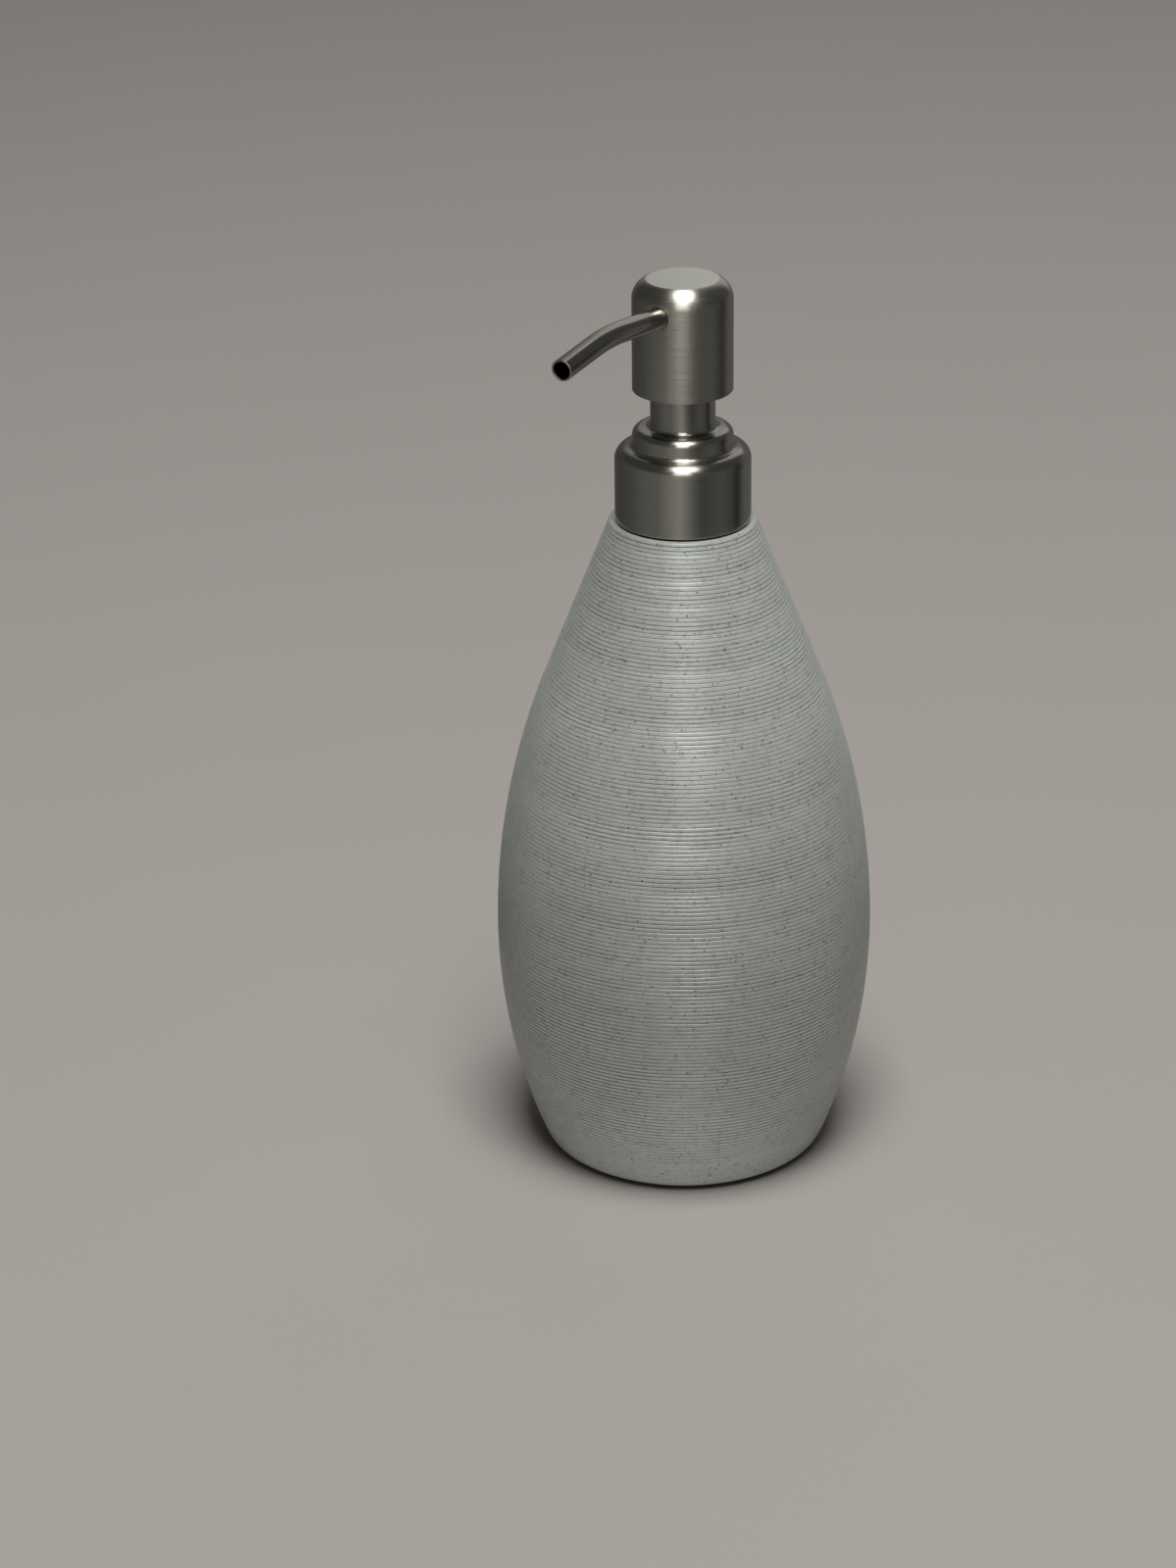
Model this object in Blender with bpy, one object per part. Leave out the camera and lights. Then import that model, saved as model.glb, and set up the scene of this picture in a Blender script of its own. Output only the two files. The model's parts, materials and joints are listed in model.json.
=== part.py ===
"""Soap dispenser: a cast teardrop bottle closed by a lotion pump, one object for each piece.

Lengths are in metres. Z is the bottle's axis and Z = 0 is the surface that the bottle stands on. The
spout points to -Y. The pump's radii grow outwards from the stem and its heights stack up from the
bottle's mouth, so a changed size carries its neighbours with it.
"""

from math import acos, asin, atan2, cos, degrees, hypot, pi, radians, sin, sqrt, tan

import bmesh
import bpy
from mathutils import Matrix, Vector

MM = 0.001

# Clearances between neighbouring pieces
SEAT_GAP = 0.3 * MM
RUN_GAP = 0.2 * MM
BORE_GAP = 0.25 * MM
THREAD_GAP = 0.35 * MM
CUT_OVERRUN = 2.0 * MM
MERGE_DISTANCE = 0.001 * MM
EDGE_SHARE = 0.3

# Bottle
BOTTLE_HEIGHT = 158.7 * MM
BELLY_RADIUS = 44.9 * MM
BELLY_HEIGHT = 55.5 * MM
FOOT_RADIUS = 33.7 * MM
FOOT_FILLET = 3.0 * MM
SHOULDER_ARC_SHARE = 0.63
BOTTLE_WALL = 5.0 * MM
BOTTLE_FLOOR = 7.0 * MM
FLOOR_FILLET = 8.0 * MM
LEDGE_WIDTH = 2.0 * MM
LEDGE_FILLET = 0.8 * MM
MOUTH_DEPTH = 14.0 * MM
MOUTH_SLOPE = 3.0 * MM

# Base pad
PAD_THICKNESS = 1.2 * MM
PAD_PROUD = 0.5 * MM
PAD_RIM = 2.6 * MM
PAD_FILLET = 0.4 * MM

# Stem and its foot
STEM_BORE = 2.2 * MM
STEM_WALL = 1.4 * MM
STEM_SHOULDER_WIDTH = 1.0 * MM
STEM_SHOULDER_HEIGHT = 1.2 * MM
INLET_RADIUS = 0.8 * MM
INLET_HEIGHT = 1.6 * MM
PLUG_SHANK_LENGTH = 2.0 * MM
PLUG_FOOT_WIDTH = 2.2 * MM
PLUG_FOOT_HEIGHT = 3.0 * MM
PLUG_CONE_HEIGHT = 0.9 * MM

# Piston seal
SEAL_WIDTH = 3.0 * MM
SEAL_HEIGHT = 5.0 * MM
SEAL_SLIP = 1.2 * MM
SEAL_LIP_HEIGHT = 0.8 * MM
SEAL_WAIST_DEPTH = 0.8 * MM
SEAL_GROOVE_WIDTH = 0.9 * MM
SEAL_GROOVE_DEPTH = 1.1 * MM

# Barrel of the pump
BARREL_WALL = 1.0 * MM
BARREL_FLANGE_HEIGHT = 1.5 * MM
FLANGE_INSET = 0.2 * MM
TAIL_WALL = 1.1 * MM
TAIL_DEPTH = 10.0 * MM
PASSAGE_RADIUS = 1.5 * MM
PASSAGE_LENGTH = 1.5 * MM
VENT_RADIUS = 0.8 * MM

# Stem guide
GUIDE_LENGTH = 8.0 * MM
GUIDE_FLANGE_WIDTH = 1.5 * MM
GUIDE_FLANGE_HEIGHT = 1.5 * MM
GUIDE_LIP_WIDTH = 1.4 * MM
GUIDE_LIP_HEIGHT = 1.6 * MM

# Inlet valve and return spring
BALL_RADIUS = 2.4 * MM
BALL_LIFT = 1.5 * MM
BALL_GAP = 0.1 * MM
BALL_SIDE_GAP = 0.8 * MM
SEAT_ANGLE = radians(45.0)
CAGE_WALL = 1.2 * MM
CAGE_FLANGE_HEIGHT = 1.2 * MM
CAGE_BOSS_HEIGHT = 1.0 * MM
CAGE_PORT_RADIUS = 1.4 * MM
CAGE_SLOT_WIDTH = 2.4 * MM
CAGE_SLOT_MARGIN = 0.9 * MM
SPRING_WIRE = 0.9 * MM
SPRING_TURNS = 7.5
SPRING_END_TURNS = 0.8
SPRING_MARGIN = 2.75 * MM
SPRING_COIL_GAP = 0.12 * MM
SPIGOT_HEIGHT = 2.0 * MM

# Dip tube
TUBE_RADIUS = 3.3 * MM
TUBE_WALL = 0.8 * MM
TUBE_LIFT = 3.0 * MM
TUBE_CUT_ANGLE = radians(45.0)

# Neck of the bottle
NECK_AIR_GAP = 2.4 * MM
NECK_WALL = 2.65 * MM
NECK_HEIGHT = 11.8 * MM
NECK_FLANGE_WIDTH = 1.7 * MM
NECK_FLANGE_HEIGHT = 1.6 * MM
NECK_EDGE = 0.5 * MM
SPIGOT_WALL = 2.1 * MM
SPIGOT_LENGTH = 12.0 * MM
GASKET_HEIGHT = 1.3 * MM
GASKET_INSET = 0.4 * MM

# Threaded cap
CAP_WALL = 1.5 * MM
CAP_TOP_HEIGHT = 1.6 * MM
CAP_SKIRT_RISE = 0.6 * MM

# Drawn collar cover
COLLAR_SHEET = 0.5 * MM
COLLAR_LIFT = 0.5 * MM
SHOULDER_FILLET = 3.1 * MM
SHOULDER_ROOT_FILLET = 0.95 * MM
STEP_WIDTH = 4.18 * MM
STEP_HEIGHT = 4.6 * MM
STEP_FILLET = 2.0 * MM
CHIMNEY_ROOT_FILLET = 1.2 * MM
CHIMNEY_OVERLAP = 3.0 * MM
WIDEST_FILLET_SHARE = 0.75
ROOT_FILLET_SHARE = 0.24

# Chimney bush
BUSH_WALL = 2.84 * MM
BUSH_FLANGE_HEIGHT = 1.2 * MM
BUSH_CLEARANCE = 1.2 * MM
BUSH_CHAMFER = 0.5 * MM

# Press head and spout
PUMP_STROKE = 8.5 * MM
STROKE_CLEARANCE = 0.5 * MM
HEAD_RADIUS = 11.57 * MM
HEAD_SHEET = 0.6 * MM
HEAD_EDGE_RADIUS = 5.0 * MM
HEAD_EDGE_SHARE = 0.93
CORE_CLEARANCE = 1.0 * MM
BOSS_WALL = 1.8 * MM
BOSS_LENGTH = 5.5 * MM
CHANNEL_RADIUS = 1.7 * MM
SOCKET_LAND = 3.7 * MM
SPOUT_RISE = 6.0 * MM
SPOUT_DROP = 7.5 * MM
SPOUT_RADIUS = 2.5 * MM
SPOUT_WALL = 0.6 * MM
SPOUT_START = 2.6 * MM
SPOUT_STRAIGHT = 28.0 * MM
SPOUT_TAIL = 13.5 * MM
SPOUT_BEND_RADIUS = 60.0 * MM
SPOUT_TILT = radians(6.0)
SPOUT_BEND = radians(12.0)
SPOUT_SEAL_WIDTH = 0.9 * MM
SPOUT_SEAL_LENGTH = 1.2 * MM
SPOUT_SEAL_INSET = 1.9 * MM

# Facets
BOTTLE_SEGMENTS = 48
SHELL_SEGMENTS = 40
PIECE_SEGMENTS = 24
SMALL_SEGMENTS = 20
BALL_SEGMENTS = 16
EDGE_STEPS = 2
ARC_STEPS = 3
FINE_ARC_STEPS = 4
BODY_ARC_STEPS = 6
INNER_ARC_STEPS = 4
SPRING_TURN_STEPS = 10
SPRING_SIDES = 6
BEND_STEPS = 6
SHARP_ANGLE = radians(35.0)

# Radii, from the stem outwards
STEM_RADIUS = STEM_BORE + STEM_WALL
GUIDE_BORE = STEM_RADIUS + BORE_GAP
SEAL_RADIUS = GUIDE_BORE + SEAL_WIDTH
BARREL_BORE = SEAL_RADIUS + RUN_GAP
BARREL_RADIUS = BARREL_BORE + BARREL_WALL
NECK_BORE = BARREL_RADIUS + NECK_AIR_GAP
NECK_RADIUS = NECK_BORE + NECK_WALL
SPIGOT_RADIUS = NECK_BORE + SPIGOT_WALL
NECK_FLANGE_RADIUS = NECK_RADIUS + NECK_FLANGE_WIDTH
MOUTH_RADIUS = SPIGOT_RADIUS + SEAT_GAP
COUNTERBORE_RADIUS = NECK_FLANGE_RADIUS + SEAT_GAP
LEDGE_RADIUS = COUNTERBORE_RADIUS + LEDGE_WIDTH
CAP_BORE = NECK_RADIUS + THREAD_GAP
CAP_RADIUS = CAP_BORE + CAP_WALL
COLLAR_RADIUS = CAP_RADIUS + SEAT_GAP + COLLAR_SHEET
BUSH_RADIUS = GUIDE_BORE + BUSH_WALL
CHIMNEY_RADIUS = BUSH_RADIUS + SEAT_GAP + COLLAR_SHEET
STEP_RADIUS = CHIMNEY_RADIUS + STEP_WIDTH
GUIDE_FLANGE_RADIUS = BARREL_BORE + GUIDE_FLANGE_WIDTH
CAP_HOLE = GUIDE_FLANGE_RADIUS + SEAT_GAP
BOSS_BORE = STEM_RADIUS + RUN_GAP
BOSS_RADIUS = BOSS_BORE + BOSS_WALL
SPRING_SPIGOT_RADIUS = STEM_RADIUS
SPRING_RADIUS = SPRING_SPIGOT_RADIUS + SEAT_GAP + SPRING_WIRE / 2
TAIL_BORE = TUBE_RADIUS + SEAT_GAP
TAIL_RADIUS = TAIL_BORE + TAIL_WALL
SPOUT_BORE = SPOUT_RADIUS + RUN_GAP

# Fillets of the collar, limited by the width of their step
SHOULDER_WIDTH = COLLAR_RADIUS - STEP_RADIUS
SHOULDER_ROUND = min(SHOULDER_FILLET, WIDEST_FILLET_SHARE * SHOULDER_WIDTH)
SHOULDER_ROOT = min(SHOULDER_ROOT_FILLET, ROOT_FILLET_SHARE * SHOULDER_WIDTH)

# Heights of the bottle
RIM_Z = PAD_PROUD
LEDGE_Z = RIM_Z + BOTTLE_HEIGHT
BELLY_Z = RIM_Z + BELLY_HEIGHT
FLOOR_Z = RIM_Z + BOTTLE_FLOOR

# Heights of the closure, from the neck upwards
NECK_TOP_Z = LEDGE_Z + NECK_HEIGHT
GASKET_Z = NECK_TOP_Z + SEAT_GAP
FLANGE_Z = GASKET_Z + GASKET_HEIGHT + SEAT_GAP
FLANGE_TOP_Z = FLANGE_Z + BARREL_FLANGE_HEIGHT
GUIDE_Z = FLANGE_TOP_Z + SEAT_GAP
CAP_TOP_Z = GUIDE_Z + CAP_TOP_HEIGHT
SHOULDER_Z = CAP_TOP_Z + SEAT_GAP + COLLAR_SHEET
STEP_Z = SHOULDER_Z + STEP_HEIGHT
BUSH_FLANGE_TOP_Z = STEP_Z - COLLAR_SHEET - SEAT_GAP
BUSH_FLANGE_Z = BUSH_FLANGE_TOP_Z - BUSH_FLANGE_HEIGHT
CAP_RING_Z = BUSH_FLANGE_Z - SEAT_GAP
COLLAR_Z = LEDGE_Z + COLLAR_LIFT
CAP_SKIRT_Z = COLLAR_Z + CAP_SKIRT_RISE

# Heights of the head, at rest
HEAD_Z = STEP_Z + PUMP_STROKE + STROKE_CLEARANCE
CHIMNEY_TOP_Z = HEAD_Z + CHIMNEY_OVERLAP
CORE_Z = CHIMNEY_TOP_Z + PUMP_STROKE + CORE_CLEARANCE
SPOUT_Z = CORE_Z + SPOUT_RISE
HEAD_TOP_Z = SPOUT_Z + SPOUT_DROP
BOSS_Z = CORE_Z - BOSS_LENGTH
SOCKET_TOP_Z = SPOUT_Z - SOCKET_LAND
BUSH_TOP_Z = BOSS_Z - PUMP_STROKE - BUSH_CLEARANCE
STEM_TOP_Z = SOCKET_TOP_Z - SEAT_GAP

# Heights inside the barrel, downwards from the guide, with the head up
GUIDE_END_Z = GUIDE_Z - GUIDE_LENGTH
STEM_SHOULDER_TOP_Z = GUIDE_END_Z - SEAT_GAP
STEM_SHOULDER_Z = STEM_SHOULDER_TOP_Z - STEM_SHOULDER_HEIGHT
SEAL_TOP_Z = STEM_SHOULDER_Z - SEAL_SLIP - RUN_GAP
SEAL_Z = SEAL_TOP_Z - SEAL_HEIGHT
PLUG_TOP_Z = SEAL_Z - SEAT_GAP
PLUG_Z = PLUG_TOP_Z - PLUG_FOOT_HEIGHT
SPRING_TOP_Z = PLUG_Z - SEAT_GAP
SPRING_LENGTH = PUMP_STROKE + SPRING_TURNS * SPRING_WIRE + SPRING_MARGIN
SPRING_Z = SPRING_TOP_Z - SPRING_LENGTH
CAGE_TOP_Z = SPRING_Z - SEAT_GAP
CAGE_ROOF_Z = CAGE_TOP_Z - CAGE_FLANGE_HEIGHT
CAGE_BORE = BALL_RADIUS + BALL_SIDE_GAP
BALL_OVER_APEX = (BALL_RADIUS + BALL_GAP) / sin(SEAT_ANGLE)
SEAT_DEPTH = CAGE_BORE / tan(SEAT_ANGLE)
BALL_Z = CAGE_ROOF_Z - RUN_GAP - BALL_LIFT - BALL_RADIUS
SEAT_Z = BALL_Z - BALL_OVER_APEX + SEAT_DEPTH
PASSAGE_Z = SEAT_Z - SEAT_DEPTH + PASSAGE_RADIUS / tan(SEAT_ANGLE)
TAIL_TOP_Z = PASSAGE_Z - PASSAGE_LENGTH
TAIL_Z = TAIL_TOP_Z - TAIL_DEPTH
TUBE_TOP_Z = TAIL_TOP_Z - SEAT_GAP
TUBE_Z = FLOOR_Z + TUBE_LIFT


def arc(centre, radius, start, end, steps):
    """Points on a circle of the section plane, both ends included."""
    sweep = [start + (end - start) * step / steps for step in range(steps + 1)]
    return [(centre[0] + radius * cos(angle), centre[1] + radius * sin(angle)) for angle in sweep]


def filleted(corners, steps=ARC_STEPS):
    """Turn corners (radius, height, fillet) into points, with an arc at each corner that has a fillet."""
    points = []
    for index, (x, z, fillet) in enumerate(corners):
        if not fillet:
            points.append((x, z))
            continue
        corner = Vector((x, z))
        back = (Vector(corners[index - 1][:2]) - corner).normalized()
        ahead = (Vector(corners[(index + 1) % len(corners)][:2]) - corner).normalized()
        half = acos(max(-1.0, min(1.0, back.dot(ahead)))) / 2
        centre = corner + (back + ahead).normalized() * fillet / sin(half)
        first = corner + back * fillet / tan(half) - centre
        last = corner + ahead * fillet / tan(half) - centre
        start = atan2(first.y, first.x)
        turn = atan2(first.x * last.y - first.y * last.x, first.dot(last))
        points += arc(centre, fillet, start, start + turn, steps)
    return points


def principled(name, colour, roughness, metallic=0.0):
    material = bpy.data.materials.new(name)
    material.use_nodes = True
    shader = material.node_tree.nodes["Principled BSDF"]
    shader.inputs["Base Color"].default_value = (*colour, 1.0)
    shader.inputs["Roughness"].default_value = roughness
    shader.inputs["Metallic"].default_value = metallic
    return material


def carrier(name, height, parent=None):
    """Empty on the axis that carries the pieces of one moving body."""
    empty = bpy.data.objects.new(name, None)
    empty.empty_display_size = COLLAR_RADIUS
    bpy.context.scene.collection.objects.link(empty)
    empty.location.z = height
    attach(empty, parent)
    return empty


def attach(piece, parent):
    """Parent a piece that is placed in world terms, keeping its place."""
    if parent is not None:
        piece.parent = parent
        bpy.context.view_layer.update()
        piece.matrix_parent_inverse = parent.matrix_world.inverted()


def finish(mesh_builder, name, material, origin, parent):
    """Turn a bmesh into a smooth-shaded object whose origin is at the given point."""
    bmesh.ops.remove_doubles(mesh_builder, verts=mesh_builder.verts, dist=MERGE_DISTANCE)
    bmesh.ops.recalc_face_normals(mesh_builder, faces=mesh_builder.faces)
    bmesh.ops.translate(mesh_builder, verts=mesh_builder.verts, vec=-Vector(origin))
    mesh = bpy.data.meshes.new(name)
    mesh_builder.to_mesh(mesh)
    mesh_builder.free()
    mesh.shade_smooth()
    mesh.set_sharp_from_angle(angle=SHARP_ANGLE)
    mesh.materials.append(material)
    piece = bpy.data.objects.new(name, mesh)
    bpy.context.scene.collection.objects.link(piece)
    piece.location = origin
    attach(piece, parent)
    return piece


def turned(name, outline, material, origin_z, parent=None, segments=PIECE_SEGMENTS):
    """Spin an outline of (radius, height) points round Z. One that starts on the axis stays open there."""
    bm = bmesh.new()
    verts = [bm.verts.new((radius, 0, height)) for radius, height in outline]
    edges = [bm.edges.new(pair) for pair in zip(verts, verts[1:])]
    if outline[0][0] > 0:
        edges.append(bm.edges.new((verts[-1], verts[0])))
    bmesh.ops.spin(
        bm, geom=verts + edges, cent=(0, 0, 0), axis=(0, 0, 1), dvec=(0, 0, 0),
        angle=2 * pi, steps=segments, use_merge=True, use_duplicate=False,
    )
    return finish(bm, name, material, (0, 0, origin_z), parent)


def bridge(bm, near, far):
    """Join two closed rings of vertices, of equal count, with a band of faces."""
    for index in range(len(near)):
        after = (index + 1) % len(near)
        bm.faces.new((near[index], near[after], far[after], far[index]))


def cutter(name, bm, origin=(0, 0, 0)):
    """Hidden object that a Boolean takes away from a piece."""
    bmesh.ops.recalc_face_normals(bm, faces=bm.faces)
    mesh = bpy.data.meshes.new(name)
    bm.to_mesh(mesh)
    bm.free()
    tool = bpy.data.objects.new(name, mesh)
    bpy.context.scene.collection.objects.link(tool)
    tool.location = origin
    tool.display_type = "WIRE"
    tool.hide_render = True
    return tool


def rod_cutter(name, radius, length, placement, segments=SMALL_SEGMENTS):
    """Cylinder along the placement's Z, from its origin to the given length."""
    bm = bmesh.new()
    bmesh.ops.create_cone(
        bm, cap_ends=True, segments=segments, radius1=radius, radius2=radius, depth=length,
        matrix=placement @ Matrix.Translation((0, 0, length / 2)),
    )
    return cutter(name, bm)


def box_cutter(name, size, placement):
    bm = bmesh.new()
    bmesh.ops.create_cube(bm, size=1.0, matrix=placement @ Matrix.Diagonal((*size, 1.0)))
    return cutter(name, bm)


def cut(piece, tool):
    modifier = piece.modifiers.new(tool.name, "BOOLEAN")
    modifier.operation = "DIFFERENCE"
    modifier.solver = "EXACT"
    modifier.object = tool


def across(height, angle=0.0, lean=0.0):
    """Placement on the axis at a height whose Z runs to -Y, turned about the axis and leaning upwards."""
    turn = Matrix.Rotation(angle, 4, "Z")
    lie = Matrix.Rotation(pi / 2 - lean, 4, "X")
    return Matrix.Translation((0, 0, height)) @ turn @ lie


def shoulder_slope():
    """Angle of the bottle's straight shoulder, whose arc below takes its share of the height."""
    rise = LEDGE_Z - BELLY_Z
    run = BELLY_RADIUS - LEDGE_RADIUS
    low, high = 0.0, pi / 2
    for _ in range(60):
        slope = (low + high) / 2
        reach = SHOULDER_ARC_SHARE * tan(slope / 2) + (1 - SHOULDER_ARC_SHARE) * tan(slope)
        low, high = (slope, high) if reach * rise < run else (low, slope)
    return low


def body_section(inset, bottom, fillet, steps):
    """Wall line of the bottle from its floor corner to the shoulder's tangent, moved in by the inset."""
    slope = shoulder_slope()
    upper_radius = SHOULDER_ARC_SHARE * (LEDGE_Z - BELLY_Z) / sin(slope)
    taper = BELLY_RADIUS - FOOT_RADIUS
    lower_radius = (BELLY_HEIGHT ** 2 + taper ** 2) / (2 * taper)
    upper_centre = (BELLY_RADIUS - upper_radius, BELLY_Z)
    lower_centre = (BELLY_RADIUS - lower_radius, BELLY_Z)
    corner_drop = BELLY_Z - bottom - fillet
    corner_reach = sqrt((lower_radius - inset - fillet) ** 2 - corner_drop ** 2)
    corner = (lower_centre[0] + corner_reach, bottom + fillet)
    foot_angle = -atan2(corner_drop, corner_reach)
    foot = arc(corner, fillet, -pi / 2, foot_angle, ARC_STEPS)
    lower = arc(lower_centre, lower_radius - inset, foot_angle, 0, steps)
    upper = arc(upper_centre, upper_radius - inset, 0, slope, steps)
    return foot + lower[1:] + upper[1:]


def make_bottle(material):
    outer = body_section(0, RIM_Z, FOOT_FILLET, BODY_ARC_STEPS)
    inner = body_section(BOTTLE_WALL, FLOOR_Z, FLOOR_FILLET, INNER_ARC_STEPS)
    slope = shoulder_slope()
    recess_radius = outer[0][0] - PAD_RIM
    recess_z = PAD_THICKNESS + SEAT_GAP
    mouth_z = LEDGE_Z - MOUTH_DEPTH
    cone_z = mouth_z - MOUTH_SLOPE
    cone_radius = inner[-1][0] - (cone_z - inner[-1][1]) * tan(slope)
    counterbore_z = LEDGE_Z - NECK_FLANGE_HEIGHT - SEAT_GAP
    mouth = filleted([
        (*outer[-1], 0),
        (LEDGE_RADIUS, LEDGE_Z, LEDGE_FILLET),
        (COUNTERBORE_RADIUS, LEDGE_Z, 0),
        (COUNTERBORE_RADIUS, counterbore_z, 0),
        (MOUTH_RADIUS, counterbore_z, 0),
        (MOUTH_RADIUS, mouth_z, 0),
        (cone_radius, cone_z, 0),
    ])
    recess = [(0, recess_z), (recess_radius, recess_z), (recess_radius, RIM_Z)]
    outline = recess + outer + mouth[1:] + inner[::-1] + [(0, FLOOR_Z)]
    return turned("bottle", outline, material, 0, segments=BOTTLE_SEGMENTS)


def make_base_pad(material):
    radius = body_section(0, RIM_Z, FOOT_FILLET, BODY_ARC_STEPS)[0][0] - PAD_RIM - SEAT_GAP
    outline = filleted([
        (0, 0, 0), (radius, 0, PAD_FILLET), (radius, PAD_THICKNESS, 0), (0, PAD_THICKNESS, 0),
    ])
    return turned("base_pad", outline, material, 0, segments=SHELL_SEGMENTS)


def make_neck_insert(material):
    spigot_z = LEDGE_Z - SPIGOT_LENGTH
    flange_z = LEDGE_Z - NECK_FLANGE_HEIGHT
    outline = filleted([
        (NECK_BORE, spigot_z, 0),
        (SPIGOT_RADIUS, spigot_z, NECK_EDGE),
        (SPIGOT_RADIUS, flange_z, 0),
        (NECK_FLANGE_RADIUS, flange_z, 0),
        (NECK_FLANGE_RADIUS, LEDGE_Z, 0),
        (NECK_RADIUS, LEDGE_Z, 0),
        (NECK_RADIUS, NECK_TOP_Z, NECK_EDGE),
        (NECK_BORE, NECK_TOP_Z, 0),
    ], EDGE_STEPS)
    return turned("neck_insert", outline, material, LEDGE_Z, segments=PIECE_SEGMENTS)


def make_neck_gasket(material, parent):
    inner = BARREL_RADIUS + SEAT_GAP
    outer = NECK_RADIUS - GASKET_INSET
    top = GASKET_Z + GASKET_HEIGHT
    outline = [(inner, GASKET_Z), (outer, GASKET_Z), (outer, top), (inner, top)]
    return turned("neck_gasket", outline, material, GASKET_Z, parent)


def make_pump_cylinder(material, parent):
    flange_radius = NECK_RADIUS - FLANGE_INSET
    outline = [
        (BARREL_BORE, FLANGE_TOP_Z),
        (BARREL_BORE, SEAT_Z),
        (CAGE_BORE, SEAT_Z),
        (PASSAGE_RADIUS, PASSAGE_Z),
        (PASSAGE_RADIUS, TAIL_TOP_Z),
        (TAIL_BORE, TAIL_TOP_Z),
        (TAIL_BORE, TAIL_Z),
        (TAIL_RADIUS, TAIL_Z),
        (TAIL_RADIUS, TAIL_TOP_Z),
        (BARREL_RADIUS, SEAT_Z),
        (BARREL_RADIUS, FLANGE_Z),
        (flange_radius, FLANGE_Z),
        (flange_radius, FLANGE_TOP_Z),
    ]
    barrel = turned("pump_cylinder", outline, material, FLANGE_Z, parent)
    vent = across(SEAL_Z + SEAL_HEIGHT / 2, pi)
    cut(barrel, rod_cutter("barrel_vent_cutter", VENT_RADIUS, BARREL_RADIUS + CUT_OVERRUN, vent))
    return barrel


def make_stem_guide(material, parent):
    plug_radius = BARREL_BORE - SEAT_GAP
    flange_top = GUIDE_Z + GUIDE_FLANGE_HEIGHT
    lip_radius = GUIDE_BORE + GUIDE_LIP_WIDTH
    lip_top = flange_top + GUIDE_LIP_HEIGHT
    edge = EDGE_SHARE * GUIDE_LIP_WIDTH
    outline = [
        (GUIDE_BORE, GUIDE_END_Z),
        (plug_radius - edge, GUIDE_END_Z),
        (plug_radius, GUIDE_END_Z + edge),
        (plug_radius, GUIDE_Z),
        (GUIDE_FLANGE_RADIUS, GUIDE_Z),
        (GUIDE_FLANGE_RADIUS, flange_top),
        (lip_radius, flange_top),
        (lip_radius, lip_top),
        (GUIDE_BORE + edge, lip_top),
        (GUIDE_BORE, lip_top - edge),
    ]
    return turned("stem_guide", outline, material, GUIDE_Z, parent)


def make_ball_cage(material, parent):
    """Slotted skirt over the inlet ball, under the flange that the spring stands on."""
    skirt_z = SEAT_Z + SEAT_GAP
    skirt_radius = CAGE_BORE + CAGE_WALL
    flange_radius = BARREL_BORE - SEAT_GAP
    boss_top = CAGE_TOP_Z + CAGE_BOSS_HEIGHT
    outline = [
        (CAGE_BORE, skirt_z),
        (skirt_radius, skirt_z),
        (skirt_radius, CAGE_ROOF_Z),
        (flange_radius, CAGE_ROOF_Z),
        (flange_radius, CAGE_TOP_Z),
        (SPRING_SPIGOT_RADIUS, CAGE_TOP_Z),
        (SPRING_SPIGOT_RADIUS, boss_top),
        (CAGE_PORT_RADIUS, boss_top),
        (CAGE_PORT_RADIUS, CAGE_ROOF_Z),
        (CAGE_BORE, CAGE_ROOF_Z),
    ]
    cage = turned("ball_cage", outline, material, CAGE_TOP_Z, parent)
    slot_z = skirt_z + CAGE_SLOT_MARGIN
    slot_height = CAGE_ROOF_Z - CAGE_SLOT_MARGIN - slot_z
    size = (CAGE_SLOT_WIDTH, 2 * (skirt_radius + CUT_OVERRUN), slot_height)
    for name, angle in (("cage_slot_cutter_y", 0.0), ("cage_slot_cutter_x", pi / 2)):
        middle = Matrix.Translation((0, 0, slot_z + slot_height / 2)) @ Matrix.Rotation(angle, 4, "Z")
        cut(cage, box_cutter(name, size, middle))
    return cage


def make_check_ball(material, parent):
    bm = bmesh.new()
    bmesh.ops.create_uvsphere(
        bm, u_segments=BALL_SEGMENTS, v_segments=BALL_SEGMENTS // 2, radius=BALL_RADIUS,
    )
    bmesh.ops.translate(bm, verts=bm.verts, vec=(0, 0, BALL_Z))
    return finish(bm, "check_ball", material, (0, 0, BALL_Z), parent)


def spring_height(turn):
    """Height of the wire's centre after a number of turns, with both end turns wound close."""
    close = SPRING_WIRE + SPRING_COIL_GAP
    rise = SPRING_LENGTH - SPRING_WIRE
    open_pitch = (rise - 2 * SPRING_END_TURNS * close) / (SPRING_TURNS - 2 * SPRING_END_TURNS)
    low = min(turn, SPRING_END_TURNS) * close
    middle = min(max(turn - SPRING_END_TURNS, 0), SPRING_TURNS - 2 * SPRING_END_TURNS) * open_pitch
    high = max(turn - SPRING_TURNS + SPRING_END_TURNS, 0) * close
    return SPRING_Z + SPRING_WIRE / 2 + low + middle + high


def spring_gap():
    """Least gap between two turns of the wire, from points on its centre line half a turn or more apart."""
    points = []
    for step in range(round(SPRING_TURNS * SPRING_TURN_STEPS) + 1):
        turn = step / SPRING_TURN_STEPS
        angle = 2 * pi * turn
        points.append(Vector((SPRING_RADIUS * cos(angle), SPRING_RADIUS * sin(angle), spring_height(turn))))
    apart = SPRING_TURN_STEPS // 2
    return min(
        (near - far).length
        for place, near in enumerate(points) for far in points[place + apart:]
    ) - SPRING_WIRE


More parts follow.
